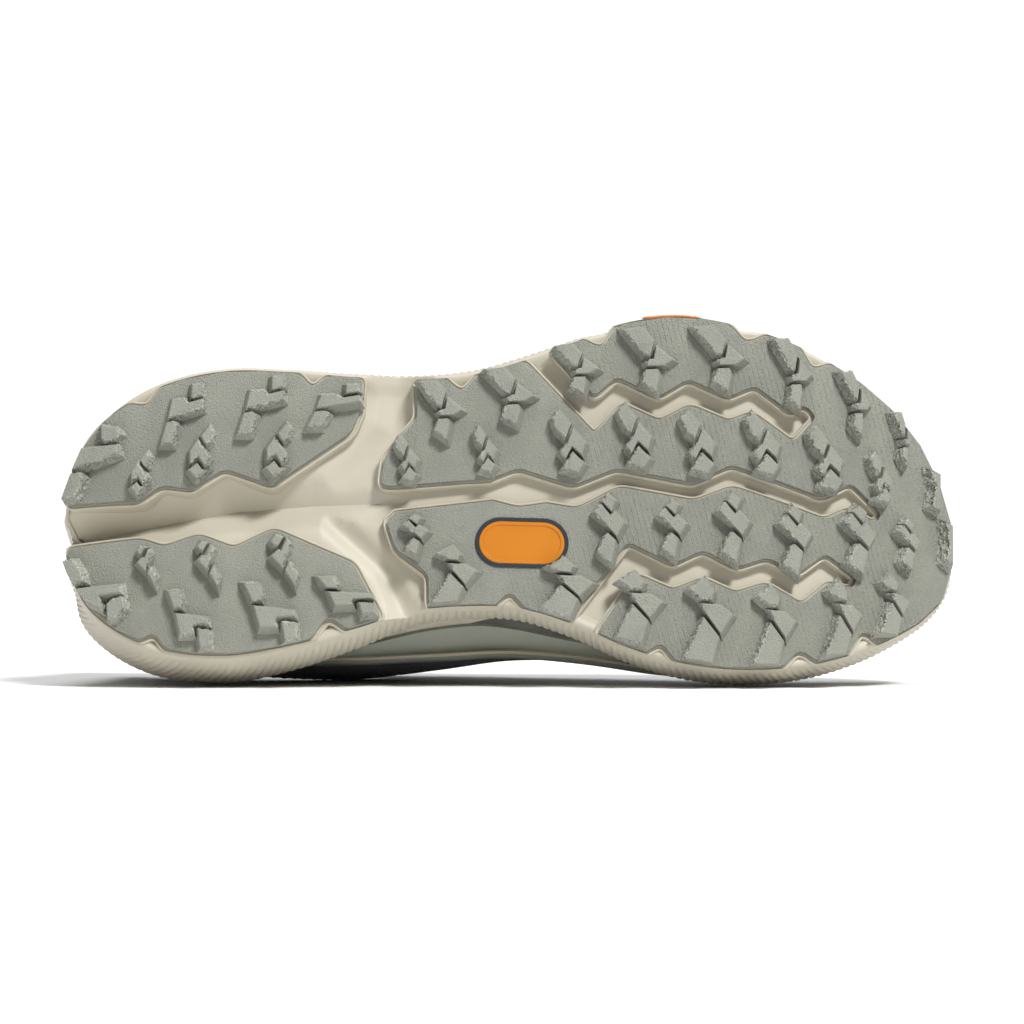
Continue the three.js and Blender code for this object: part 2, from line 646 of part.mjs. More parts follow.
function badgeOutline(grow) {
  const half = badgeLength / 2 + grow;
  const round = badgeWidth / 2 + grow;
  const shape = new THREE.Shape();
  shape.absarc(half - round, 0, round, -Math.PI / 2, Math.PI / 2);
  shape.absarc(round - half, 0, round, Math.PI / 2, (3 * Math.PI) / 2);
  const centre = planPoint([badgeAlong, badgeAcross]);
  const zero = new THREE.Vector2();
  return shape.getPoints(fanSteps / 2).map((point) => point.rotateAround(zero, badgeTurn).add(centre));
}

function badgePlate(grow, low, high) {
  return prismUp(badgeOutline(grow), low, high);
}

// Upper, its overlays and what lies inside it, all from one last

function lastCentre(x) {
  const medial = columnAt(lastTable, "medial", x);
  const lateral = columnAt(lastTable, "lateral", x);
  return ((medial - lateral) / 2) * ballWidth;
}

function lastHalfWidth(x) {
  const medial = columnAt(lastTable, "medial", x);
  const lateral = columnAt(lastTable, "lateral", x);
  return ((medial + lateral) / 2) * ballWidth;
}

function ridgeHeight(x) {
  return columnAt(lastTable, "ridge", x) * instepHeight;
}

// Height of the last's widest line
function girthHeight(x) {
  return bedHeight(x) + girthRise;
}

// Half planes round the foot: where each starts, where it points and how far the last reaches
function lastPlanes() {
  const planes = [];
  const fan = (x, from, end) => {
    for (let i = 0; i < fanSteps; i++) {
      const turn = from + (i * Math.PI) / fanSteps;
      const across = Math.sin(turn) / lastHalfWidth(x);
      const along = Math.cos(turn) / Math.abs(end - x);
      const sum = Math.abs(across) ** endSquareness + Math.abs(along) ** endSquareness;
      const reach = sum ** (-1 / endSquareness);
      planes.push({ x, turn, reach });
    }
  };
  const side = (from, to, turn) => {
    for (let i = 0; i < sideSteps; i++) {
      const x = from + ((to - from) * i) / sideSteps;
      planes.push({ x, turn, reach: lastHalfWidth(x) });
    }
  };
  side(heelCentre, toeCentre, -Math.PI / 2);
  fan(toeCentre, -Math.PI / 2, toeTip);
  side(toeCentre, heelCentre, Math.PI / 2);
  fan(heelCentre, Math.PI / 2, heelBack);
  return planes;
}

// A point of the last's skin: rise runs from -90 degrees underneath to 90 degrees on the ridge
function lastPoint(plane, rise, grow) {
  const square = columnAt(lastTable, "square", plane.x);
  const out = Math.cos(rise) ** (2 / square);
  const up = Math.sign(rise) * Math.abs(Math.sin(rise)) ** (2 / square);
  const base = new THREE.Vector2(plane.x, lastCentre(plane.x));
  const reach = out * plane.reach;
  const flat = new THREE.Vector2(Math.cos(plane.turn), Math.sin(plane.turn));
  flat.multiplyScalar(reach).add(base);
  const toeShare = Math.max(0, flat.x - toeCentre) / (toeTip - toeCentre);
  const girth = girthHeight(flat.x);
  const roof = ridgeHeight(plane.x) - toeFall * toeShare - girth;
  const z = girth + up * (up < 0 ? girth - bedHeight(flat.x) : roof);
  const fromDip = (z - achillesHeight) / achillesSpread;
  const dip = achillesDip * Math.max(0, -Math.cos(plane.turn)) * Math.exp(-(fromDip ** 2));
  const shrunk = Math.max(0, reach + out * (grow(flat.x, z) - dip));
  const place = new THREE.Vector2(Math.cos(plane.turn), Math.sin(plane.turn));
  place.multiplyScalar(shrunk).add(base);
  return new THREE.Vector3(place.x, place.y + toeSkew * toeShare ** 2, z + up * grow(flat.x, z));
}

// The closed form of the last, grown or shrunk by a function of place
function lastForm(growth) {
  const grow = typeof growth === "function" ? growth : () => growth;
  const rises = Array.from({ length: profileSteps }, (_, i) => {
    const share = (i + 1) / (profileSteps + 1);
    return (share - 0.5) * Math.PI;
  });
  const planes = lastPlanes();
  const positions = [];
  const triangles = [];
  const write = (point) => positions.push(point.x, point.y, point.z) / 3 - 1;
  const rings = rises.map((rise) => planes.map((plane) => write(lastPoint(plane, rise, grow))));
  const middle = (rise) => planes.map((plane) => write(lastPoint(plane, rise, grow)));
  rings.unshift(middle(-Math.PI / 2));
  rings.push(middle(Math.PI / 2));
  for (let level = 0; level + 1 < rings.length; level++) {
    planes.forEach((_, i) => {
      const next = (i + 1) % planes.length;
      const [a, b] = [rings[level][i], rings[level][next]];
      const [c, d] = [rings[level + 1][next], rings[level + 1][i]];
      triangles.push(a, b, c, a, c, d);
    });
  }
  const geometry = new THREE.BufferGeometry();
  geometry.setAttribute("position", new THREE.Float32BufferAttribute(positions, 3));
  geometry.setIndex(triangles);
  const merged = mergeVertices(geometry, 1e-3);
  const kept = [];
  const index = merged.index.array;
  for (let i = 0; i < index.length; i += 3) {
    const [a, b, c] = index.slice(i, i + 3);
    if (a !== b && b !== c && c !== a) kept.push(a, b, c);
  }
  merged.setIndex(kept);
  return solidOf(merged);
}

// Height of the outer roof at a place, grown outwards
function roofHeight(x, y, grow) {
  const square = columnAt(lastTable, "square", x);
  const share = Math.min(1, Math.abs(y - lastCentre(x)) / (lastHalfWidth(x) + grow));
  const girth = girthHeight(x);
  return girth + (ridgeHeight(x) + grow - girth) * (1 - share ** square) ** (1 / square);
}

function shell(outer, inner) {
  return lastForm(outer).subtract(lastForm(inner));
}

// The lining comes further in where the collar is padded
function liningDepth(x, z) {
  const low = THREE.MathUtils.smoothstep(z, paddingLow, paddingFull);
  const back = 1 - THREE.MathUtils.smoothstep(x, paddingBack, throatStart - eyestayWidth);
  return -upperWall - collarPadding * low * back;
}

function collarCutter() {
  const line = collarLine.map(
    (row) => new THREE.Vector2(row.along * soleLength, row.height * heelTabHeight),
  );
  const curve = new THREE.SplineCurve(line).getPoints(2 * (line.length - 1));
  const behind = new THREE.Vector2(-heelCentre, line[0].y);
  const corners = [new THREE.Vector2(line.at(-1).x, tall), new THREE.Vector2(-heelCentre, tall)];
  return prismAcross([behind, ...curve, ...corners]);
}

function throatOutline(grow) {
  const half = throatWidth / 2 + grow;
  const narrow = half * 0.72;
  const end = throatEnd + grow;
  const y = lastCentre((throatStart + throatEnd) / 2);
  const points = [
    new THREE.Vector2(throatStart - 2 * eyestayWidth, y - half),
    new THREE.Vector2(throatStart, y - half),
    new THREE.Vector2(end - narrow, y - narrow),
  ];
  for (let i = 1; i < fanSteps / 2; i++) {
    const turn = (i / (fanSteps / 2) - 0.5) * Math.PI;
    points.push(new THREE.Vector2(end - narrow + narrow * Math.cos(turn), y + narrow * Math.sin(turn)));
  }
  points.push(new THREE.Vector2(end - narrow, y + narrow));
  points.push(new THREE.Vector2(throatStart, y + half));
  points.push(new THREE.Vector2(throatStart - 2 * eyestayWidth, y + half));
  return points;
}

const throatFloor = heelStack + throatDepth;

function throatCutter(grow) {
  return prismUp(throatOutline(grow), throatFloor, tall);
}

function bottomCutter() {
  const points = lastPlanes().map((plane) => {
    const reach = plane.reach - bottomMargin;
    const y = lastCentre(plane.x) + reach * Math.sin(plane.turn);
    return new THREE.Vector2(plane.x + reach * Math.cos(plane.turn), y);
  });
  return prismUp(points, 0, ballStack + lastToeSpring).intersect(
    bandBetween(() => 0, (x) => bedHeight(x) + 2 * upperWall),
  );
}

function upperSolid() {
  return shell(0, liningDepth).subtract(joined([collarCutter(), throatCutter(0), bottomCutter()]));
}

function tongueSolid() {
  const top = -upperWall - clearance;
  const y = lastCentre(throatStart);
  const half = tongueWidth / 2;
  const plan = [
    new THREE.Vector2(tongueTop, y - half),
    new THREE.Vector2(throatStart + tongueWaist, y - half),
    new THREE.Vector2(throatEnd, y - half * 0.7),
    new THREE.Vector2(throatEnd + tongueOverlap, y),
    new THREE.Vector2(throatEnd, y + half * 0.7),
    new THREE.Vector2(throatStart + tongueWaist, y + half),
    new THREE.Vector2(tongueTop, y + half),
  ];
  return shell(top, top - tongueThickness).intersect(prismUp(plan, throatFloor, tall));
}

function insoleSolid() {
  const under = -upperWall - clearance;
  const top = (x) => bedHeight(x) + upperWall + clearance + insoleThickness;
  return lastForm(under).intersect(bandBetween(() => 0, top));
}

function overlay(region) {
  return shell(clearance + overlayThickness, clearance).intersect(region);
}

const randTop = (x) => wallTop(x) + clearance + randHeight;
const overlayFoot = (x) => randTop(x) + clearance;
const randFoot = (x) => wallTop(x) - randTuck;

// The rand lies against the upper and is tucked into the midsole's rim
function randSolid() {
  return shell(clearance + randThickness, clearance).intersect(bandBetween(randFoot, randTop));
}

function randSeat() {
  const zone = bandBetween((x) => randFoot(x) - clearance, () => tall);
  return lastForm(2 * clearance + randThickness).intersect(zone);
}

function toeCapSolid() {
  const y = lastCentre(toeCentre);
  const plan = [
    new THREE.Vector2(toeCapStart - toeCapSweep, -ballWidth),
    new THREE.Vector2(toeCapStart - toeCapSweep / 2, y - ballWidth / 3),
    new THREE.Vector2(toeCapStart + toeCapSweep, y),
    new THREE.Vector2(toeCapStart - toeCapSweep / 2, y + ballWidth / 3),
    new THREE.Vector2(toeCapStart - toeCapSweep, ballWidth),
    new THREE.Vector2(soleLength + ballWidth, ballWidth),
    new THREE.Vector2(soleLength + ballWidth, -ballWidth),
  ];
  const above = bandBetween(overlayFoot, () => instepHeight);
  return overlay(prismUp(plan.reverse(), 0, instepHeight).intersect(above));
}

function heelCounterSolid() {
  const fall = (x) => THREE.MathUtils.smoothstep(x, counterFull, counterEnd);
  const top = (x) => overlayFoot(x) + counterHeight * (1 - fall(x));
  return overlay(bandBetween(overlayFoot, top));
}

function eyestaySolid() {
  const inner = throatCutter(clearance);
  return overlay(throatCutter(eyestayWidth)).subtract(joined([inner, collarCutter()]));
}

// A flat bar along points, level from side to side
function flatBar(points) {
  const up = new THREE.Vector3(0, 0, laceThickness / 2);
  const loops = points.map((point, i) => {
    const run = (points[i + 1] ?? point).clone().sub(points[i - 1] ?? point).setZ(0);
    const side = new THREE.Vector3(-run.y, run.x, 0).setLength(laceWidth / 2);
    return [
      point.clone().sub(side).sub(up),
      point.clone().add(side).sub(up),
      point.clone().add(side).add(up),
      point.clone().sub(side).add(up),
    ];
  });
  const across = points.at(-1).clone().sub(points[0]);
  const flat = (point) => new THREE.Vector2(point.y * across.x - point.x * across.y, point.z);
  return skin(loops, flat);
}

// A lace that goes from side to side up the throat and crosses itself, each run a bar over the tongue
function laceSolid() {
  const lift = overlayThickness + laceThickness + 4 * clearance;
  const bars = [];
  const run = throatEnd - throatStart - firstLace - lastLace;
  const rowAt = (i) => throatStart + firstLace + (run * i) / (laceRows - 1);
  const reach = throatWidth / 2 + eyestayWidth / 2;
  const barBetween = (from, to, turn) => {
    const points = [-1, -0.72, -0.36, 0, 0.36, 0.72, 1].map((share) => {
      const x = THREE.MathUtils.lerp(from, to, (share + 1) / 2);
      const narrowing = THREE.MathUtils.lerp(1, 0.8, (x - throatStart) / (throatEnd - throatStart));
      const y = lastCentre((throatStart + throatEnd) / 2) + turn * share * reach * narrowing;
      return new THREE.Vector3(x, y, roofHeight(x, y, lift));
    });
    return flatBar(points);
  };
  for (let i = 0; i + 1 < laceRows; i++) {
    bars.push(barBetween(rowAt(i), rowAt(i + 1), 1));
    bars.push(barBetween(rowAt(i), rowAt(i + 1), -1));
  }
  bars.push(barBetween(rowAt(laceRows - 1), rowAt(laceRows - 1), 1));
  return joined(bars);
}

// The whole shoe, still standing

const lastOutside = lastForm(clearance);
const midsole = soleForm(0, 1)
  .subtract(bandBetween(() => -tall, (x) => treadHeight(x) + rubberThickness + clearance))
  .subtract(bandBetween(wallTop, () => tall))
  .subtract(lastOutside)
  .subtract(randSeat())
  .subtract(joined([channelCutter(), troughCutter([0.33, 0.02], [0.375, -0.6])]))
  .subtract(troughCutter([0.33, 0.02], [0.395, 0.6]));

const sheet = bandBetween(treadHeight, (x) => treadHeight(x) + rubberThickness);
const saddle = prismUp(
  [...heelLateralEdge, ...waistLateralEdge, ...heelMedialEdge].map(planPoint),
  -tall,
  tall,
);
const rubber = sheet
  .intersect(prismUp(outlineLoop(outlineSteps, 0), -tall, tall))
  .subtract(saddle)
  .subtract(joined(grooves.map(ribbonCutter)))
  .subtract(joined(notches.map(notchCutter)));

function rubberPiece(name) {
  const inHeel = (x) => x < heelPodsEnd * soleLength;
  const belongs = (x, y) => {
    if (name === "outsole_forefoot") return !inHeel(x);
    return inHeel(x) && y < heelPodsLine * ballWidth === (name === "outsole_heel_lateral");
  };
  const bodies = rubber.decompose().filter((body) => {
    const { min, max } = body.boundingBox();
    return belongs((min[0] + max[0]) / 2, (min[1] + max[1]) / 2);
  });
  const own = lugs.filter((lug) => belongs(lug.along * soleLength, lug.across * ballWidth));
  const whole = joined([...bodies, ...own.map(lugSolid)]).decompose();
  return whole.reduce((largest, body) => (body.volume() > largest.volume() ? body : largest));
}

// Plain inlay in the forefoot rubber: a raised frame round a flat face
const badgeSeat = treadHeight(badgeAlong * soleLength) + rubberThickness / 2;
const badgeLow = badgeSeat - clearance - badgeThickness;

// A patch on the outside of the lateral wall, between two sole forms
function wallPatch(along, length, low, high, inner, outer) {
  const from = along * soleLength - length / 2;
  const plan = [
    new THREE.Vector2(from, -ballWidth),
    new THREE.Vector2(from + length, -ballWidth),
    new THREE.Vector2(from + length, -ballWidth / 3),
    new THREE.Vector2(from, -ballWidth / 3),
  ];
  const zone = bandBetween((x) => treadHeight(x) + low, (x) => treadHeight(x) + high);
  const layer = soleForm(outer, 0).subtract(soleForm(inner, 0));
  return layer.intersect(prismUp(plan, 0, wallHeight)).intersect(zone);
}

const wrapInner = ribDepth + clearance;
const wrapOuter = wrapInner + sideWrapThickness;
const wrapLow = rubberThickness + clearance;

const pieces = {
  outsole_heel_lateral: rubberPiece("outsole_heel_lateral"),
  outsole_heel_medial: rubberPiece("outsole_heel_medial"),
  outsole_forefoot: rubberPiece("outsole_forefoot").subtract(badgePlate(clearance, -tall, badgeSeat)),
  sole_badge_frame: badgePlate(0, badgeLow, badgeSeat - clearance).subtract(
    badgePlate(-badgeFrameWidth, -tall, tall),
  ),
  sole_badge_face: badgePlate(-badgeFrameWidth - clearance, badgeLow + clearance, badgeSeat - clearance),
  side_wrap: wallPatch(
    sideWrapAlong,
    sideWrapLength,
    wrapLow,
    wrapLow + sideWrapHeight,
    wrapInner,
    wrapOuter,
  ),
  side_badge: wallPatch(
    sideWrapAlong,
    sideBadgeLength,
    wrapLow + (sideWrapHeight - sideBadgeHeight) / 2,
    wrapLow + (sideWrapHeight + sideBadgeHeight) / 2,
    wrapOuter + clearance,
    wrapOuter + clearance + badgeThickness,
  ),
  midsole,
  upper: upperSolid(),
  tongue: tongueSolid(),
  insole: insoleSolid(),
  rand: randSolid(),
  toe_cap: toeCapSolid(),
  heel_counter: heelCounterSolid(),
  eyestay: eyestaySolid(),
  laces: laceSolid(),
};

const rubberLook = { color: 0x9e9f94, roughness: 0.75 };
const darkBadge = { color: 0x101e2c, roughness: 0.5 };
const orangeBadge = { color: 0xd68c00, roughness: 0.4 };
const orangeStrip = { color: 0xde730a, roughness: 0.4 };
const creamFoam = { color: 0xc9c2ae, roughness: 0.6 };
const blackMesh = { color: 0x2d2d2f, roughness: 0.9 };
const greyCloth = { color: 0x55564f, roughness: 0.95 };
const glossyBand = { color: 0x80867a, roughness: 0.4 };
const darkFilm = { color: 0x3a3c3b, roughness: 0.5 };
const greyWebbing = { color: 0x80867a, roughness: 0.85 };

const looks = {
  outsole_heel_lateral: rubberLook,
  outsole_heel_medial: rubberLook,
  outsole_forefoot: rubberLook,
  sole_badge_frame: darkBadge,
  sole_badge_face: orangeBadge,
  side_wrap: rubberLook,
  side_badge: orangeStrip,
  midsole: creamFoam,
  upper: blackMesh,
  tongue: blackMesh,
  insole: greyCloth,
  rand: glossyBand,
  toe_cap: darkFilm,
  heel_counter: darkFilm,
  eyestay: darkFilm,
  laces: greyWebbing,
};

function meshOf(name, solid) {
  const { vertProperties, triVerts } = solid.getMesh();
  const geometry = new THREE.BufferGeometry();
  geometry.setAttribute("position", new THREE.Float32BufferAttribute(vertProperties, 3));
  geometry.setIndex(Array.from(triVerts));
  const material = new THREE.MeshStandardMaterial({ ...looks[name], metalness: 0 });
  const mesh = new THREE.Mesh(geometry, material);
  mesh.name = name;
  return mesh;
}

// Laid on its side

function cornersOfSolid(solid, keep) {
  const { vertProperties } = solid.getMesh();
  const points = [];
  for (let i = 0; i < vertProperties.length; i += 3) {
    points.push(new THREE.Vector3().fromArray(vertProperties, i));
  }
  return points.filter(keep);
}

// Which way is down when the sole's medial edge and the collar both touch the floor
function restingDown() {
  const contacts = [
    cornersOfSolid(pieces.midsole, (point) => point.x < soleLength / 2),
    cornersOfSolid(pieces.midsole, (point) => point.x > soleLength / 2),
    cornersOfSolid(pieces.upper, (point) => point.z > heelTabHeight / 2),
  ];
  const down = new THREE.Vector3(0, 1, 0);
  const furthest = (points) => points.reduce((far, point) => (point.dot(down) > far.dot(down) ? point : far));
  const settlingPasses = 12;
  for (let pass = 0; pass < settlingPasses; pass++) {
    const [heel, ball, collar] = contacts.map(furthest);
    down.copy(collar.clone().sub(heel).cross(ball.clone().sub(heel)).normalize());
    if (down.y < 0) down.negate();
  }
  return down;
}

const shoe = new THREE.Group();
for (const [name, solid] of Object.entries(pieces)) shoe.add(meshOf(name, solid));

// The shoe's own directions become columns: heel to toe along +x, and down towards the floor
const up = restingDown().negate();
const forward = new THREE.Vector3(1, 0, 0).addScaledVector(up, -up.x).normalize();
const across = up.clone().cross(forward);
const standing = new THREE.Matrix4().makeBasis(forward, across, up);
shoe.quaternion.setFromRotationMatrix(standing.invert());

const part = new THREE.Group();
part.add(shoe);
part.updateMatrixWorld(true);
const box = new THREE.Box3().setFromObject(part, true);
const middle = box.getCenter(new THREE.Vector3());
shoe.position.set(-middle.x, -middle.y, -box.min.z);

export default part;
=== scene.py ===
# %% [markdown]
# A trail running shoe, seen from below
#
# A running shoe is built on a last, a wooden or plastic foot. A mesh upper is drawn over the last and
# glued to a foam midsole, and rubber pieces with lugs are glued under the foam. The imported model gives
# each of these pieces its place and size. This lesson dresses them: every step adds one piece or one
# finish, and says how it was made and why.

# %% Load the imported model
import json
import math
import random

import bmesh
import bpy
from mathutils import Matrix, Vector

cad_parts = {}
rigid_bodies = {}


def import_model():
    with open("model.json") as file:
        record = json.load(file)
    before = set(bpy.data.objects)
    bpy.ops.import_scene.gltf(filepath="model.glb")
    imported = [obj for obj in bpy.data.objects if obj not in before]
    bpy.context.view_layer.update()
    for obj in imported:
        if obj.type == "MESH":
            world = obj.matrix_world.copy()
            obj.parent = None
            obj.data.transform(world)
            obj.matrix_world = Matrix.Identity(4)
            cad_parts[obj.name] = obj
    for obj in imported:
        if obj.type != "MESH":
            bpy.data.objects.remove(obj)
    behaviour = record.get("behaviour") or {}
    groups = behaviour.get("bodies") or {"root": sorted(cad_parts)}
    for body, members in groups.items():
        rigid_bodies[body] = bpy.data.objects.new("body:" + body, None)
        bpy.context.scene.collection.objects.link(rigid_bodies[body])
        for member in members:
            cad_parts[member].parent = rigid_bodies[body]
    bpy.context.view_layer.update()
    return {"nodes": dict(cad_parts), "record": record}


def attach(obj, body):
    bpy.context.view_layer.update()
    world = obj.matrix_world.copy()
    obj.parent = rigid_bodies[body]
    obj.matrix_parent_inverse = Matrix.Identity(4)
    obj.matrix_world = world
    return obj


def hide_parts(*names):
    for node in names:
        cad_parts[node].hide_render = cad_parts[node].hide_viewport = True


for item in list(bpy.data.objects):
    bpy.data.objects.remove(item)
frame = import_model()
nodes = frame["nodes"]
print("pieces in the packed model:", len(nodes))

# %% [markdown]
# A shoe is easiest to describe as it stands: x runs from heel to toe, +y points to the medial side, z
# goes up from the ground, all in millimetres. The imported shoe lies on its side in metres. Two flat lug
# tips are known in both places, and they are enough to work out the turn from one to the other.

# %% From the standing shoe to the lying one
MM = 0.001
HEEL_TIP = Vector((68.33, -36.44, 0.0))
FORE_TIP = Vector((183.0, 5.39, 0.0))


def turned_basis(along, up):
    forward = (along - up * along.dot(up)).normalized()
    return Matrix((forward, up.cross(forward), up)).transposed()


spots = {row["name"]: row for row in frame["record"]["mounts"]}
heel_spot = Vector(spots["heel_lug_tip"]["pos_m"])
fore_spot = Vector(spots["forefoot_lug_tip"]["pos_m"])
sole_up = -Vector(spots["heel_lug_tip"]["axis"])
standing = turned_basis(FORE_TIP - HEEL_TIP, Vector((0, 0, 1)))
lying = turned_basis(fore_spot - heel_spot, sole_up)
turn = (lying @ standing.transposed()).to_4x4()
LAY_DOWN = Matrix.Translation(heel_spot) @ turn @ Matrix.Scale(MM, 4) @ Matrix.Translation(-HEEL_TIP)
STAND_UP = LAY_DOWN.inverted()
print("roll of the shoe, degrees:", round(math.degrees(math.asin(-sole_up.z)), 1))

# %% [markdown]
# The forms of a sole and a last are smooth, so a few sections are enough. Each table has a row for each
# section, with its place as a share of the sole's length and its sizes as shares of the ball's width.

# %% Driving sizes and section tables
SOLE_LENGTH = 300.0
BALL_WIDTH = 120.0
LUG_DEPTH = 4.5
RUBBER = 2.2
WALL_HEIGHT = 44.0
HEEL_STACK = 31.0
BALL_STACK = 25.0
LAST_TOE_SPRING = 12.0
TOE_LIFT = 30.0
TOE_LIFT_START = 190.0
HEEL_LIFT = 9.0
HEEL_LIFT_END = 52.0
INSTEP = 132.0
HEEL_TAB = 108.0


def table(columns, *rows):
    names = columns.split()
    return [dict(zip(names, row)) for row in rows]


SOLE = table(
    "along lateral medial flare_lateral flare_medial wall",
    (0.024, 0.189, 0.242, 0.006, 0.01, 1.04),
    (0.056, 0.274, 0.328, 0.024, 0.032, 1.02),
    (0.11, 0.346, 0.397, 0.04, 0.04, 1.0),
    (0.183, 0.387, 0.42, 0.04, 0.04, 0.97),
    (0.256, 0.384, 0.392, 0.04, 0.036, 0.92),
    (0.324, 0.37, 0.347, 0.042, 0.026, 0.86),
    (0.394, 0.362, 0.293, 0.044, 0.012, 0.8),
    (0.458, 0.376, 0.279, 0.044, 0.006, 0.77),
    (0.509, 0.412, 0.285, 0.042, 0.006, 0.77),
    (0.571, 0.47, 0.332, 0.036, 0.01, 0.78),
    (0.633, 0.528, 0.4, 0.03, 0.014, 0.78),
    (0.694, 0.545, 0.443, 0.026, 0.016, 0.78),
    (0.756, 0.521, 0.458, 0.02, 0.014, 0.8),
    (0.824, 0.469, 0.442, 0.014, 0.01, 0.84),
    (0.88, 0.4, 0.4, 0.008, 0.006, 0.9),
    (0.93, 0.312, 0.338, 0.002, 0.002, 0.97),
    (0.97, 0.193, 0.264, 0.0, 0.0, 1.03),
    (0.991, 0.072, 0.187, 0.0, 0.0, 1.06),
)
HEEL_END = Vector((0.003 * SOLE_LENGTH, 0.05 * BALL_WIDTH))
TOE_END = Vector((SOLE_LENGTH, 0.054 * BALL_WIDTH))

LAST = table(
    "along lateral medial ridge square",
    (0.12, 0.292, 0.322, 1.0, 3.2),
    (0.22, 0.305, 0.352, 1.0, 3.1),
    (0.32, 0.312, 0.362, 0.955, 2.9),
    (0.42, 0.322, 0.357, 0.855, 2.6),
    (0.5, 0.348, 0.35, 0.75, 2.4),
    (0.58, 0.396, 0.366, 0.655, 2.35),
    (0.66, 0.446, 0.396, 0.575, 2.35),
    (0.74, 0.466, 0.418, 0.505, 2.45),
    (0.82, 0.448, 0.41, 0.455, 2.55),
)
COLLAR = table(
    "along height",
    (0.01, 1.0),
    (0.05, 1.01),
    (0.085, 0.93),
    (0.14, 0.82),
    (0.21, 0.775),
    (0.29, 0.8),
    (0.345, 0.9),
    (0.372, 1.02),
)


def column(rows, name):
    """A smooth function of x through one column of a table, read from samples half a millimetre apart."""

    def exact(x):
        share = min(max(x / SOLE_LENGTH, rows[0]["along"]), rows[-1]["along"])
        after = max(1, next(i for i, row in enumerate(rows) if row["along"] >= share))
        start, end = rows[after - 1], rows[after]
        before = rows[max(0, after - 2)]
        beyond = rows[min(len(rows) - 1, after + 1)]
        span = end["along"] - start["along"]
        t = (share - start["along"]) / span
        leave = (end[name] - before[name]) / (end["along"] - before["along"]) * span
        arrive = (beyond[name] - start[name]) / (beyond["along"] - start["along"]) * span
        return (
            (2 * t**3 - 3 * t**2 + 1) * start[name]
            + (t**3 - 2 * t**2 + t) * leave
            + (3 * t**2 - 2 * t**3) * end[name]
            + (t**3 - t**2) * arrive
        )

    samples = [exact(i / 2) for i in range(int(2 * SOLE_LENGTH) + 2)]

    def value(x):
        place = min(max(2 * x, 0.0), 2 * SOLE_LENGTH)
        low = int(place)
        return samples[low] + (samples[low + 1] - samples[low]) * (place - low)

    return value


lateral_edge = column(SOLE, "lateral")
medial_edge = column(SOLE, "medial")
flare_lateral = column(SOLE, "flare_lateral")
flare_medial = column(SOLE, "flare_medial")
wall_share = column(SOLE, "wall")
last_lateral = column(LAST, "lateral")
last_medial = column(LAST, "medial")
last_ridge = column(LAST, "ridge")
last_square = column(LAST, "square")
collar_share = column(COLLAR, "height")


def smoothstep(low, high, value):
    t = min(max((value - low) / (high - low), 0.0), 1.0)
    return t * t * (3 - 2 * t)


def mix(a, b, t):
    return a + (b - a) * t


def tread(x):
    toe = max(0.0, x - TOE_LIFT_START) / (SOLE_LENGTH - TOE_LIFT_START)
    heel = max(0.0, HEEL_LIFT_END - x) / HEEL_LIFT_END
    return LUG_DEPTH + TOE_LIFT * toe**3 + HEEL_LIFT * heel**2


def tread_slope(x):
    return tread(x + 0.5) - tread(x - 0.5)


def bed(x):
    toe = max(0.0, x - TOE_LIFT_START) / (SOLE_LENGTH - TOE_LIFT_START)
    drop = smoothstep(HEEL_LIFT_END, TOE_LIFT_START, x)
    return mix(HEEL_STACK, BALL_STACK, drop) + LAST_TOE_SPRING * toe**2


def wall_top(x):
    return WALL_HEIGHT * wall_share(x)


# %% [markdown]
# Most pieces here are skins through rows of points. A grid is made with one operator and its vertices
# are moved to their rows, so the faces run in clean lines that take a bevel or a smooth shade well.

# %% Helpers that make and finish meshes
def skin(bm, rows, closed=True, material=0, column_materials=None):
    """A grid moved to rows of points. A closed one joins the end of each row to its start."""
    count = len(rows[0]) + (1 if closed else 0)
    grid = bmesh.ops.create_grid(bm, x_segments=count - 1, y_segments=len(rows) - 1, size=1)["verts"]
    places = [p for row in rows for p in (row + row[:1] if closed else row)]
    for vert, place in zip(grid, places):
        vert.co = place
    faces = list({f for v in grid for f in v.link_faces})
    place_of = {vert: i % count for i, vert in enumerate(grid)}
    for face in faces:
        first = min(place_of[v] for v in face.verts)
        face.material_index = column_materials[first] if column_materials else material
    bmesh.ops.remove_doubles(bm, verts=grid, dist=0.002)
    return [f for f in faces if f.is_valid]


def close_holes(bm):
    edges = [e for e in bm.edges if e.is_boundary]
    if edges:
        bmesh.ops.holes_fill(bm, edges=edges, sides=0)


def finish_mesh(name, bm, materials, sharp=35.0, outwards=True):
    """Lays the standing mesh down, shades it smooth up to an angle and makes it an object."""
    bmesh.ops.dissolve_degenerate(bm, edges=bm.edges[:], dist=0.0005)
    if outwards:
        bmesh.ops.recalc_face_normals(bm, faces=bm.faces[:])
    bm.transform(LAY_DOWN)
    for face in bm.faces:
        face.smooth = True
    for edge in bm.edges:
        edge.smooth = not (len(edge.link_faces) == 2 and edge.calc_face_angle(0) > math.radians(sharp))
    mesh = bpy.data.meshes.new(name)
    bm.to_mesh(mesh)
    bm.free()
    for material in materials:
        mesh.materials.append(material)
    piece = bpy.data.objects.new(name, mesh)
    bpy.context.scene.collection.objects.link(piece)
    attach(piece, "root")
    print(name, "faces:", len(mesh.polygons))
    return piece


# %% [markdown]
# Materials come next. Colours are sRGB hex values as a designer would give them. One function turns
# them to Blender's linear values, and one adds any node with its settings, values and links.

# %% Helpers for materials
WAVES = 314  # a wave texture's scale for bands one millimetre apart


def srgb(text, alpha=1.0):
    """A hex colour as linear red, green, blue and alpha."""
    shares = [int(text[i : i + 2], 16) / 255 for i in (0, 2, 4)]
    return [s / 12.92 if s <= 0.04045 else ((s + 0.055) / 1.055) ** 2.4 for s in shares] + [alpha]


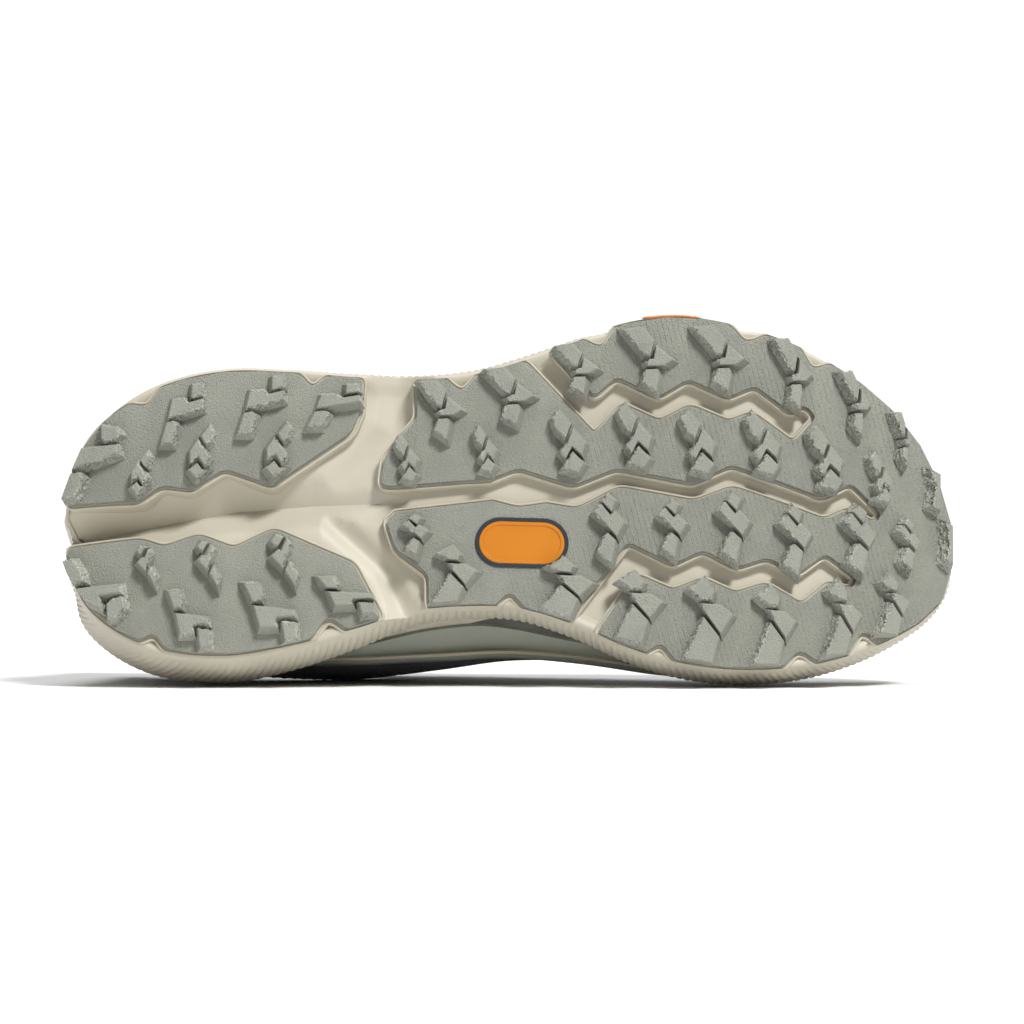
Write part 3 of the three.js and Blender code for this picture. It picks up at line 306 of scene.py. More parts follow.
def add(tree, kind, values=None, links=None, **settings):
    """Adds one node: settings are its own, values go to its sockets, links come from other sockets."""
    node = tree.nodes.new(kind)
    for name, value in settings.items():
        setattr(node, name, value)
    for socket, value in (values or {}).items():
        node.inputs[socket].default_value = value
    for socket, source in (links or {}).items():
        tree.links.new(source, node.inputs[socket])
    return node


def start_material(name, roughness, ior=1.5, **values):
    material = bpy.data.materials.new(name)
    material.use_nodes = True
    shader = material.node_tree.nodes["Principled BSDF"]
    shader.inputs["Roughness"].default_value = roughness
    shader.inputs["IOR"].default_value = ior
    for socket, value in values.items():
        shader.inputs[socket.replace("_", " ")].default_value = value
    place = add(material.node_tree, "ShaderNodeTexCoord").outputs["Object"]
    return material, material.node_tree, shader, place


def mottled(tree, place, low, high, size_mm, spread=0.12):
    """Two close colours that drift into each other over patches of a real size."""
    cloud = add(tree, "ShaderNodeTexNoise", {"Scale": 1000 / size_mm, "Detail": 4}, {"Vector": place})
    ramp = add(tree, "ShaderNodeValToRGB", links={"Fac": cloud.outputs["Fac"]})
    ramp.color_ramp.elements[0].position = 0.5 - spread
    ramp.color_ramp.elements[0].color = srgb(low)
    ramp.color_ramp.elements[1].position = 0.5 + spread
    ramp.color_ramp.elements[1].color = srgb(high)
    return ramp.outputs["Color"]


def bumped(tree, shader, height, depth_mm, strength=1.0, under=None):
    links = {"Height": height}
    if under is not None:
        links["Normal"] = under
    values = {"Strength": strength, "Distance": depth_mm * MM}
    bump = add(tree, "ShaderNodeBump", values, links)
    tree.links.new(bump.outputs["Normal"], shader.inputs["Normal"])
    return bump.outputs["Normal"]


# %% [markdown]
# The outsole is carbon-filled rubber, moulded in steel. The mould is spark-eroded, which leaves a fine
# sandy grain of about half a millimetre, and cut with fine lines 1.7 mm apart across the tread.

# %% Outsole rubber
def rubber_material(name, low, high, lined=False, torn=False):
    material, tree, shader, place = start_material(name, 0.6, 1.52)
    tree.links.new(mottled(tree, place, low, high, 11.0, 0.3), shader.inputs["Base Color"])
    # Sandy grain: thousands of small pits break up the light and make the rubber look dry.
    grain = add(tree, "ShaderNodeTexNoise", {"Scale": 1000 / 0.5, "Detail": 3}, {"Vector": place})
    under = bumped(tree, shader, grain.outputs["Fac"], 0.7, 1.0)
    if lined:
        # Fine cut lines: they catch the light in thin streaks across the tread.
        values = {"Rotation": (0.0, math.radians(14), 0.0)}
        lean = add(tree, "ShaderNodeMapping", values, {"Vector": place})
        values = {"Scale": WAVES / 1.7, "Distortion": 0.6, "Detail": 1.0, "Detail Scale": 0.05}
        lines = add(tree, "ShaderNodeTexWave", values, {"Vector": lean.outputs["Vector"]},
                    wave_type="BANDS", bands_direction="X")
        thin = add(tree, "ShaderNodeMapRange", {"From Min": 0.8, "From Max": 1.0},
                   {"Value": lines.outputs["Fac"]})
        # The lines are plain at the toe and nearly polished away further back.
        parts = add(tree, "ShaderNodeSeparateXYZ", links={"Vector": place})
        values = {"From Min": -0.01, "From Max": 0.06, "To Min": 0.15, "To Max": 1.0}
        forward = add(tree, "ShaderNodeMapRange", values, {"Value": parts.outputs["X"]})
        worn = add(tree, "ShaderNodeTexNoise", {"Scale": 1000 / 26, "Detail": 1}, {"Vector": place})
        values = {"From Min": 0.4, "From Max": 0.65, "To Min": 0.3, "To Max": 1.0}
        kept = add(tree, "ShaderNodeMapRange", values, {"Value": worn.outputs["Fac"]})
        links = {0: thin.outputs["Result"], 1: forward.outputs["Result"]}
        placed = add(tree, "ShaderNodeMath", {}, links, operation="MULTIPLY")
        links = {0: placed.outputs["Value"], 1: kept.outputs["Result"]}
        faded = add(tree, "ShaderNodeMath", {}, links, operation="MULTIPLY")
        bumped(tree, shader, faded.outputs["Value"], 0.3, 0.7, under)
    if torn:
        # Crystals: sharp-edged cells of under a millimetre, as left by deep spark erosion.
        cells = add(tree, "ShaderNodeTexVoronoi", {"Scale": 1000 / 0.85}, {"Vector": place},
                    feature="F1", distance="CHEBYCHEV")
        bumped(tree, shader, cells.outputs["Distance"], 0.6, 1.0, under)
    return material


tread_rubber = rubber_material("moulded tread rubber", "84857B", "8D8E82", lined=True)
# The lugs use the same rubber as the sheet, painted a little lighter: painted light on the lug tops and
# smooth walls.
lug_rubber_painted_light = rubber_material("moulded lug rubber with painted light", "8A8B80", "939489")
# Same rubber again, painted paler in patches: painted highlights on the chipped walls. Only the sharp cells
# are bump.
torn_rubber_painted_highlights = rubber_material("rough lug wall with painted highlights", "8E8F84", "B4B5AA", torn=True)

# %% [markdown]
# The midsole is EVA foam, pressed in a mould: it has a thin closed skin with a soft sheen, and a tone
# that drifts slightly where the skin is thicker.

# %% Midsole foam
def foam_material():
    material, tree, shader, place = start_material("pressed EVA foam", 0.5, 1.46)
    tree.links.new(mottled(tree, place, "B4AE9D", "BDB7A7", 22.0, 0.3), shader.inputs["Base Color"])
    # Skin grain: faint pits of about a millimetre soften the sheen, so the foam looks dry and light.
    skin_grain = add(tree, "ShaderNodeTexNoise", {"Scale": 1000 / 1.1, "Detail": 5}, {"Vector": place})
    bumped(tree, shader, skin_grain.outputs["Fac"], 0.12, 0.35)
    return material


foam = foam_material()

# %% [markdown]
# The sole's outline is a closed curve through the table's edges. Even steps along it carry the ribs of
# the side wall, and a signed distance to it keeps other pieces inside it.

# %% The sole's outline
def closed_curve(points, steps=20):
    """Dense points along a closed centripetal Catmull-Rom curve."""
    dense = []
    count = len(points)
    for i in range(count):
        p0, p1, p2, p3 = (points[(i + k) % count] for k in (-1, 0, 1, 2))
        t0 = 0.0
        t1 = t0 + math.sqrt((p1 - p0).length)
        t2 = t1 + math.sqrt((p2 - p1).length)
        t3 = t2 + math.sqrt((p3 - p2).length)
        for step in range(steps):
            t = mix(t1, t2, step / steps)
            a1 = p0.lerp(p1, (t - t0) / (t1 - t0))
            a2 = p1.lerp(p2, (t - t1) / (t2 - t1))
            a3 = p2.lerp(p3, (t - t2) / (t3 - t2))
            b1 = a1.lerp(a2, (t - t0) / (t2 - t0))
            b2 = a2.lerp(a3, (t - t1) / (t3 - t1))
            dense.append(b1.lerp(b2, (t - t1) / (t2 - t1)))
    return dense


edge_points = [HEEL_END]
edge_points += [Vector((r["along"] * SOLE_LENGTH, -r["lateral"] * BALL_WIDTH)) for r in SOLE]
edge_points += [TOE_END]
edge_points += [Vector((r["along"] * SOLE_LENGTH, r["medial"] * BALL_WIDTH)) for r in reversed(SOLE)]
dense_outline = closed_curve(edge_points)
travelled = [0.0]
for i, point in enumerate(dense_outline):
    travelled.append(travelled[-1] + (dense_outline[(i + 1) % len(dense_outline)] - point).length)
OUTLINE_LENGTH = travelled[-1]
EVEN = 2000


def even_outline():
    """Places and outward directions at even steps."""
    places = []
    at = 0
    for i in range(EVEN):
        goal = OUTLINE_LENGTH * i / EVEN
        while travelled[at + 1] < goal:
            at += 1
        share = (goal - travelled[at]) / (travelled[at + 1] - travelled[at])
        places.append(dense_outline[at].lerp(dense_outline[(at + 1) % len(dense_outline)], share))
    directions = []
    for i in range(EVEN):
        run = (places[(i + 4) % EVEN] - places[i - 4]).normalized()
        directions.append(Vector((run.y, -run.x)))
    return places, directions


outline_places, outline_directions = even_outline()


def outline_at(share, grow=0.0):
    place = (share % 1.0) * EVEN
    low = int(place) % EVEN
    part = place - int(place)
    point = outline_places[low].lerp(outline_places[(low + 1) % EVEN], part)
    away = outline_directions[low].lerp(outline_directions[(low + 1) % EVEN], part)
    return point + away * grow


def kept_inside(point, limit):
    """Moves a plan point back to the outline where it is further out than the limit."""
    nearest = min(range(0, EVEN, 4), key=lambda i: (outline_places[i] - point).length_squared)
    away = outline_directions[nearest]
    out = (point - outline_places[nearest]).dot(away)
    return point - away * (out - limit) if out > limit else point


print("length of the outline, mm:", round(OUTLINE_LENGTH))

# %% [markdown]
# The rubber pieces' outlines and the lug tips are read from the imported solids. A copy of each is stood
# up and its doubles are merged. Faces that look up from the sheet's back give its outline, and faces at
# lug depth give one outline for each lug block.

# %% Read the rubber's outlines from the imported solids
def flat_place(point, height):
    """Undoes the tread's curve for a point at a known height from the tread."""
    x = point.x
    for _ in range(6):
        slope = tread_slope(x)
        x = point.x + height * slope / math.hypot(1, slope)
    return Vector((x, point.y))


def simple_loop(points, least=0.02):
    """Drops points that lie on a straight stretch."""
    kept = []
    for i, point in enumerate(points):
        before = kept[-1] if kept else points[i - 1]
        after = points[(i + 1) % len(points)]
        into = (point - before).normalized()
        out = (after - point).normalized()
        if abs(into.cross(out)) > least and (point - before).length > 0.05:
            kept.append(point)
    return kept


def boundary_loops(faces):
    """The closed outlines round a set of faces, as lists of vertices."""
    chosen = set(faces)
    follow = {}
    for face in chosen:
        for loop in face.loops:
            across = [f for f in loop.edge.link_faces if f in chosen]
            if len(across) == 1:
                follow[loop.vert] = loop.link_loop_next.vert
    loops = []
    while follow:
        start, vert = follow.popitem()
        ring = [start]
        while vert in follow:
            ring.append(vert)
            vert = follow.pop(vert)
        loops.append(ring)
    return loops


def patches(faces):
    """Groups faces that share edges."""
    left = set(faces)
    groups = []
    while left:
        group = [left.pop()]
        for face in group:
            for edge in face.edges:
                for other in edge.link_faces:
                    if other in left:
                        left.remove(other)
                        group.append(other)
        groups.append(group)
    return groups


def rounded_loop(points, radius=2.4, steps=4):
    """Rounds each real corner with a short curve that starts a radius before it."""
    rounded = []
    for i, point in enumerate(points):
        before = points[i - 1] - point
        after = points[(i + 1) % len(points)] - point
        if abs(before.angle(after)) > math.radians(158):
            rounded.append(point)
            continue
        start = point + before.normalized() * min(radius, 0.42 * before.length)
        end = point + after.normalized() * min(radius, 0.42 * after.length)
        for k in range(steps + 1):
            t = k / steps
            rounded.append(start.lerp(point, t).lerp(point.lerp(end, t), t))
    return rounded


def read_rubber(node):
    """The sheet's outline and the lug tips' outlines of one rubber piece, seen from above."""
    bm = bmesh.new()
    bm.from_mesh(nodes[node].data)
    bm.transform(STAND_UP)
    bmesh.ops.remove_doubles(bm, verts=bm.verts[:], dist=0.004)
    bm.normal_update()
    back = [
        f
        for f in bm.faces
        if f.normal.z > 0.7 and all(abs(v.co.z - tread(v.co.x) - RUBBER) < 0.9 for v in f.verts)
    ]
    tips = []
    for face in bm.faces:
        if face.normal.z > -0.7:
            continue
        flats = [flat_place(v.co, -LUG_DEPTH) for v in face.verts]
        fits = []
        for flat, vert in zip(flats, face.verts):
            slope = tread_slope(flat.x)
            fits.append(abs(tread(flat.x) - LUG_DEPTH / math.hypot(1, slope) - vert.co.z) < 0.25)
        if all(fits):
            tips.append(face)
    back_loops = boundary_loops(back)
    sheet = max(back_loops, key=len)
    outline = rounded_loop(simple_loop([Vector((v.co.x, v.co.y)) for v in sheet]))
    blocks = []
    for group in patches(tips):
        for loop in boundary_loops(group):
            ring = simple_loop([flat_place(v.co, -LUG_DEPTH) for v in loop], 0.06)
            if len(ring) > 2:
                blocks.append(ring)
    bm.free()
    print(node, "outline points:", len(outline), "lug blocks:", len(blocks))
    return outline, blocks


RUBBER_NODES = ("outsole_heel_lateral", "outsole_heel_medial", "outsole_forefoot")
rubber_plan = {node: read_rubber(node) for node in RUBBER_NODES}

# %% [markdown]
# The tread is drawn flat and then bent: each point is moved to the tread's curve along the curve's own
# normal, so lugs stay upright on the toe spring.

# %% Bend flat tread pieces onto the sole
def signed_area(points):
    return sum(a.cross(b) for a, b in zip(points, points[1:] + points[:1])) / 2


def offset_loop(points, distances):
    """Moves each edge of an outline outwards by its own distance and meets them again."""
    count = len(points)
    moved = []
    for i in range(count):
        into = (points[i] - points[i - 1]).normalized()
        out = (points[(i + 1) % count] - points[i]).normalized()
        n1 = Vector((into.y, -into.x))
        n2 = Vector((out.y, -out.x))
        d1 = distances[i - 1]
        d2 = distances[i]
        cross = n1.cross(n2)
        if abs(cross) < 0.05:
            step = (n1 + n2).normalized() * (d1 + d2) / 2
        else:
            step = Vector((d1 * n2.y - d2 * n1.y, d2 * n1.x - d1 * n2.x)) / cross
        most = 1.5 * max(abs(d1), abs(d2)) + 0.1
        if step.length > most:
            step = step.normalized() * most
        moved.append(points[i] + step)
    return moved


def bend(bm):
    """Takes z as height over the flat tread, lugs below it, and bends the mesh onto the sole."""
    for vert in bm.verts:
        x, y, h = vert.co
        slope = tread_slope(x)
        length = math.hypot(1, slope)
        vert.co = (x - h * slope / length, y, tread(x) + h / length)


def cut_across(bm, step=3.0):
    """Cuts long faces across the shoe, so that they can bend."""
    x = step / 2
    while x < SOLE_LENGTH + step:
        bmesh.ops.bisect_plane(bm, geom=bm.verts[:] + bm.edges[:] + bm.faces[:], plane_co=(x, 0, 0),
                               plane_no=(1, 0, 0))
        x += step if x < TOE_LIFT_START else step / 2


def plate(bm, outline, low, high, bevel):
    """A flat plate on an outline, its lower rim rounded."""
    ring = [bm.verts.new((p.x, p.y, low)) for p in outline]
    face = bm.faces.new(ring)
    if face.normal.z > 0:
        face.normal_flip()
    side = bmesh.ops.extrude_face_region(bm, geom=[face])["geom"]
    for vert in side:
        if isinstance(vert, bmesh.types.BMVert):
            vert.co.z = high
    rim = [e for v in ring for e in v.link_edges if e.other_vert(v) in set(ring)]
    bmesh.ops.bevel(bm, geom=list(set(rim)), offset=bevel, segments=2, profile=0.5, affect="EDGES",
                    material=-1, clamp_overlap=True)


# %% [markdown]
# Each lug is two or three blocks, parted by thin cuts called sipes. On the side that grips, the wall is
# steep and chipped like broken stone. On the other side it slopes smoothly into the sheet. In the heel
# the chipped walls face the toe, for braking, and in the forefoot they face the heel, for pushing off.

# %% Lug blocks
CHIP = 0.75
CHIP_DEPTH = 0.5
BRAKING_END = 0.352 * SOLE_LENGTH
SPREAD = {"sipe": 0.05, "chipped": 1.2, "smooth": 1.6}
TIP_INSET = {"sipe": 0.2, "chipped": 0.12, "smooth": 0.3}
random.seed(7)


def inside(point, loop):
    hit = False
    for a, b in zip(loop, loop[1:] + loop[:1]):
        if (a.y > point.y) != (b.y > point.y):
            if point.x < a.x + (b.x - a.x) * (point.y - a.y) / (b.y - a.y):
                hit = not hit
    return hit


def wall_kinds(tip, others):
    """What each wall of a block is: a sipe's wall, a chipped one or a smooth one."""
    grips = -1 if tip[0].x > BRAKING_END else 1
    kinds = []
    for a, b in zip(tip, tip[1:] + tip[:1]):
        away = Vector((b.y - a.y, a.x - b.x)).normalized()
        probe = (a + b) / 2 + away * 1.5
        if any(inside(probe, other) for other in others):
            kinds.append("sipe")
        elif away.x * grips > 0.2 or (away.x * grips > -0.25 and (b - a).length < 5):
            kinds.append("chipped")
        else:
            kinds.append("smooth")
    return kinds


def lug_block(bm, tip, others):
    """One block: a flat top, chipped walls where it grips, smooth slopes elsewhere."""
    if signed_area(tip) < 0:
        tip = tip[::-1]
    count = len(tip)
    tip = [kept_inside(p, 0.1) for p in tip]
    kinds = wall_kinds(tip, others)
    foot = [kept_inside(p, -0.1) for p in offset_loop(tip, [SPREAD[k] for k in kinds])]
    top_in = offset_loop(tip, [-TIP_INSET[k] for k in kinds])
    heights = [0.4, 0.0, -0.8, -1.6, -2.4, -3.2, -3.9, -LUG_DEPTH + 0.3, -LUG_DEPTH]
    rows = [[] for _ in heights]
    materials = []
    for i in range(count):
        j = (i + 1) % count
        length = (tip[j] - tip[i]).length
        chipped = kinds[i] == "chipped"
        pieces = max(1, round(length / CHIP)) if chipped else 1
        along = (tip[j] - tip[i]).normalized()
        away = Vector((along.y, -along.x))
        for step in range(pieces):
            t = step / pieces
            # Chipped walls take the rubber with painted highlights. The rest takes the lug rubber with its
            # painted light.
            materials.append(2 if chipped else 1)
            low = foot[i].lerp(foot[j], t)
            high = tip[i].lerp(tip[j], t)
            top = top_in[i].lerp(top_in[j], t)
            for row, height in zip(rows, heights):
                share = min(1.0, max(0.0, -height / LUG_DEPTH))
                place = low.lerp(high, share) if height > -LUG_DEPTH else top
                lift = height
                if chipped and step and -LUG_DEPTH < height < -0.4:
                    place = place + away * random.uniform(-CHIP_DEPTH, 0.8 * CHIP_DEPTH)
                    place = place + along * random.uniform(-0.25, 0.25)
                    lift = height + random.uniform(-0.3, 0.3) * (1 if height > -4 else 0.3)
                elif chipped and step and height == -LUG_DEPTH:
                    place = place - away * random.uniform(0.0, 0.45)
                row.append(Vector((place.x, place.y, lift)))
    materials.append(materials[0])
    faces = skin(bm, rows, closed=True, column_materials=materials)
    ring = {v for f in faces for v in f.verts if abs(v.co.z + LUG_DEPTH) < 1e-4}
    edges = [e for e in bm.edges if e.is_boundary and e.verts[0] in ring and e.verts[1] in ring]
    for face in bmesh.ops.edgeloop_fill(bm, edges=edges)["faces"]:
        # The tip takes the lug rubber, painted lighter than the sheet as painted light.
        face.material_index = 1


def rubber_piece(node):
    outline, blocks = rubber_plan[node]
    bm = bmesh.new()
    plate(bm, outline, 0.0, RUBBER, 0.35)
    cut_across(bm)
    for block in blocks:
        others = [other for other in blocks if other is not block]
        near = [o for o in others if (o[0] - block[0]).length < 30]
        lug_block(bm, block, near)
    bend(bm)
    finishes = [tread_rubber, lug_rubber_painted_light, torn_rubber_painted_highlights]
    piece = finish_mesh(node.replace("outsole", "rubber"), bm, finishes, sharp=28)
    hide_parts(node)
    return piece


rubber_pieces = [rubber_piece(node) for node in RUBBER_NODES]

# %% [markdown]
# The foam cup carries everything. Its underside falls from the outline into a deep V channel along the
# heel, which crosses a flat saddle at the waist and opens to both sides in shallow troughs. The rubber
# needs something to stand on, so a low pad of foam with a beaded edge follows each rubber piece.

# %% The midsole's underside
# The channel's stops: place along and across as shares, then half its width and its depth.
CREASE = ((-0.03, 0.07, 10, 13.0), (0.06, 0.045, 12, 13.0), (0.2, -0.01, 15, 10.4), (0.28, -0.02, 16, 7.8),
          (0.36, -0.02, 12, 3.9), (0.44, -0.02, 10, 0.0))
# The troughs: stops along the middle line, reach to each side, depth, and how flat the bottom is.
LATERAL_TROUGH = (((0.29, 0.0), (0.372, -0.22), (0.385, -0.6)), 13.0, 4.4, 1.8)
MEDIAL_GROOVE = (((0.28, -0.02), (0.361, 0.17), (0.392, 0.34), (0.4, 0.5)), 9.0, 5.0, 1.5)
FIELD_DEPTH = 2.5  # how far the plain foam between the rubber pieces lies above their backs
SPINE_START = 3.0
SPINE_END = 284.0
LEAST_FOAM = 5.0  # left between the channel and the bed under the foot


def crease_at(x):
    """The channel's centre line, half width and depth at a place along the shoe."""
    share = min(max(x / SOLE_LENGTH, CREASE[0][0]), CREASE[-1][0])
    for low, high in zip(CREASE, CREASE[1:]):
        if share <= high[0]:
            t = (share - low[0]) / (high[0] - low[0])
            return tuple(mix(a, b, t) for a, b in zip(low[1:], high[1:]))
    return CREASE[-1][1:]


def spine_y(x):
    middle = (medial_edge(x) - lateral_edge(x)) / 2 * BALL_WIDTH
    return mix(crease_at(x)[0] * BALL_WIDTH, middle, smoothstep(100, 150, x))


def distance_to_line(point, stops):
    """How far a plan point is from a line through stops given as shares."""
    places = [Vector((a * SOLE_LENGTH, b * BALL_WIDTH)) for a, b in stops]
    nearest = 1e9
    for start, end in zip(places, places[1:]):
        run = end - start
        t = min(max((point - start).dot(run) / run.length_squared, 0.0), 1.0)
        nearest = min(nearest, (point - start - run * t).length)
    return nearest


def channel_at(x, y):
    """How deep the heel channel and the waist's two valleys are at a place."""
    across, half, depth = crease_at(x)
    away = abs(y - across * BALL_WIDTH)
    deepest = depth * max(0.0, 1 - away / (half * 0.86))
    if 60 < x < 150:
        for stops, reach, deep, power in (LATERAL_TROUGH, MEDIAL_GROOVE):
            near = distance_to_line(Vector((x, y)), stops) / reach
            deepest = max(deepest, deep * max(0.0, 1 - near**power) ** 1.6)
    return deepest


def dig_at(x, y, from_edge):
    """How far the foam's underside lies above the tread's back."""
    channel = channel_at(x, y)
    field = FIELD_DEPTH * smoothstep(0.8, 4.0, from_edge)
    return max(channel, field) + 0.25 * min(channel, field)


# %% [markdown]
# The side wall leans out to its widest two thirds of the way up and draws in again at the rim. Fine
# ribs stiffen it. They lean back at the heel and forward at the toe, and fade out towards the rubber and the
# rim. The wall's grid follows the ribs, so four points across each rib are enough.

# %% The midsole's wall and body
# The wall's section: rise as a share of its height, share of the flare, and inset.
WALL = ((-0.3, 0.0, 0.01), (0.28, 0.8, 0.0), (0.68, 1.0, 0.002), (1.2, 0.2, 0.04))
RIBS = 288
RIB_POINTS = 4
RIB_LEAN_HEEL = 1.5
RIB_LEAN_TOE = 0.9
RIB_FORM = (-1.0, 0.5, 1.0, 0.5)
RIB_HEIGHT = 0.27
RIBS_UPRIGHT = 0.45
WRAP_RECESS = 1.5
NOTCH_DEPTH = 5.0
NOTCH_Y = 9.2
NOTCH_HALF = 9.0
AROUND = RIBS * RIB_POINTS


def wall_levels(rise):
    """The flare's share and the inset at a share of the wall's height, with the corners eased."""
    flare = inset = 0.0
    for shift in (-0.08, 0.0, 0.08):
        at = min(max(rise + shift, WALL[0][0]), WALL[-1][0])
        for low, high in zip(WALL, WALL[1:]):
            if low[0] <= at <= high[0]:
                t = (at - low[0]) / (high[0] - low[0])
                flare += mix(low[1], high[1], t) / 3
                inset += mix(low[2], high[2], t) / 3
                break
    return flare, inset


def wall_place(share, rise, grow=0.0):
    """A point of the side wall: share goes round the outline, rise goes from the rubber to the rim."""
    edge = outline_at(share)
    away = (outline_at(share, 1.0) - edge).normalized()
    height = max(0.0, rise) * (wall_top(edge.x) - tread(edge.x) - RUBBER)
    turn = RIBS_UPRIGHT - edge.x / SOLE_LENGTH
    lean = (RIB_LEAN_HEEL if turn > 0 else RIB_LEAN_TOE) * turn * height * away.y / OUTLINE_LENGTH
    flare, inset = wall_levels(rise)
    side = flare_lateral(edge.x) if edge.y < 0 else flare_medial(edge.x)
    if edge.y < 0:
        grow -= WRAP_RECESS * smoothstep(172, 182, edge.x) * (1 - smoothstep(225, 235, edge.x))
    notch = NOTCH_DEPTH * max(0.0, 1 - abs(edge.y - NOTCH_Y) / NOTCH_HALF)
    notch *= 1 - smoothstep(0.35, 0.95, rise)
    if edge.x < 20:
        grow -= notch
    place = outline_at(share + lean, (flare * side - inset) * BALL_WIDTH + grow)
    low = tread(place.x) + RUBBER
    return Vector((place.x, place.y, mix(low, wall_top(place.x), rise)))


def last_centre(x):
    return (last_medial(x) - last_lateral(x)) / 2 * BALL_WIDTH


def last_half(x):
    return (last_medial(x) + last_lateral(x)) / 2 * BALL_WIDTH


GIRTH_RISE = 11.0
HEEL_CENTRE = 36.0
TOE_CENTRE = 245.0
HEEL_POINT = 7.5
TOE_POINT = 295.0
ROUND_ENDS = 2.25
TOE_SWING = 5.0
TOE_REACH = 50.0
TOE_DROP = 5.0
DRAWN_FROM = 195.0
DRAWN_FULLY = 235.0
BAND_ROOM = 2.6
HEEL_DIP = 3.0
HEEL_DIP_HEIGHT = 84.0
HEEL_DIP_REACH = 15.0
SIDE_PLANES = 96
FAN_PLANES = 44


def girth_height(x):
    return bed(x) + GIRTH_RISE


def toe_share(x):
    """Nothing behind the toe's centre, growing in front of it."""
    return max(0.0, x - TOE_CENTRE) / TOE_REACH


def bisect(test, low, high):
    """The last value before a test turns true."""
    if not test(high):
        return high
    for _ in range(22):
        middle = (low + high) / 2
        if test(middle):
            high = middle
        else:
            low = middle
    return low


def under_rim(plane, rim):
    """Draws a half section in near the toe, so that the band on it ends flush with the foam's rim."""
    start, turn, reach = plane
    way = Vector((math.cos(turn), math.sin(turn)))
    base = Vector((start, last_centre(start)))

    def is_outside(out):
        toe = toe_share((base + way * out).x)
        place = base + way * (out + BAND_ROOM)
        return not inside(Vector((place.x, place.y + TOE_SWING * toe**2)), rim)

    drawn_in = bisect(is_outside, reach * 0.7, reach)
    return start, turn, mix(reach, drawn_in, smoothstep(DRAWN_FROM, DRAWN_FULLY, start))


def last_planes():
    """Half sections of the last: side by side along the foot, and fanned out round toe and heel."""
    planes = []

    def side(start, end, turn):
        for i in range(SIDE_PLANES):
            x = mix(start, end, i / SIDE_PLANES)
            planes.append((x, turn, last_half(x)))

    def fan(x, start, end):
        for i in range(FAN_PLANES):
            turn = start + math.pi * i / FAN_PLANES
            across = abs(math.sin(turn) / last_half(x)) ** ROUND_ENDS
            along = abs(math.cos(turn) / (end - x)) ** ROUND_ENDS
            planes.append((x, turn, (across + along) ** (-1 / ROUND_ENDS)))

    side(HEEL_CENTRE, TOE_CENTRE, -math.pi / 2)
    fan(TOE_CENTRE, -math.pi / 2, TOE_POINT)
    side(TOE_CENTRE, HEEL_CENTRE, math.pi / 2)
    fan(HEEL_CENTRE, math.pi / 2, HEEL_POINT)
    rim = [wall_place(i / 240, 1.0, -0.7).xy for i in range(240)]
    return [under_rim(plane, rim) if plane[0] > DRAWN_FROM else plane for plane in planes]


PLANES = last_planes()


def last_point(plane, rise, grow=0.0):
    """A point of the last's skin, from -90 degrees underneath to 90 degrees on the ridge."""
    start, turn, reach = plane
    square = last_square(start)
    out = max(0.0, math.cos(rise)) ** (2 / square)
    up = math.copysign(abs(math.sin(rise)) ** (2 / square), rise)
    way = Vector((math.cos(turn), math.sin(turn)))
    base = Vector((start, last_centre(start)))
    flat = base + way * (reach * out)
    toe = toe_share(flat.x)
    girth = girth_height(flat.x)
    roof = last_ridge(start) * INSTEP - TOE_DROP * toe - girth
    z = girth + up * (GIRTH_RISE if up < 0 else roof)
    above = (z - HEEL_DIP_HEIGHT) / HEEL_DIP_REACH
    dip = HEEL_DIP * max(0.0, -math.cos(turn)) * math.exp(-(above**2))
    grown = grow(flat.x, z) if callable(grow) else grow
    place = base + way * max(0.0, reach * out + out * (grown - dip))
    return Vector((place.x, place.y + TOE_SWING * toe**2, z + up * grown))


def last_row(rise, grow=0.0):
    return [last_point(plane, rise, grow) for plane in PLANES]


GIRTH_ROW = [p.xy for p in last_row(0.0, 0.3)]


def place_on_row(point):
    """Where the nearest point of the last's widest line is, as a plane number with a fraction."""
    count = len(GIRTH_ROW)
    i = min(range(count), key=lambda k: (GIRTH_ROW[k] - point).length_squared)
    best = (1e9, 0.0)
    for start in (i - 1, i):
        a, b = GIRTH_ROW[start % count], GIRTH_ROW[(start + 1) % count]
        t = min(max((point - a).dot(b - a) / (b - a).length_squared, 0.0), 1.0)
        best = min(best, ((a.lerp(b, t) - point).length, start + t))
    return best[1]


def row_at(row, place):
    low = math.floor(place)
    return row[low % len(row)].lerp(row[(low + 1) % len(row)], place - low)


SEAM_STEP = 1.5
FAR_FROM_EDGE = 20.0
INNER_ROWS = 9


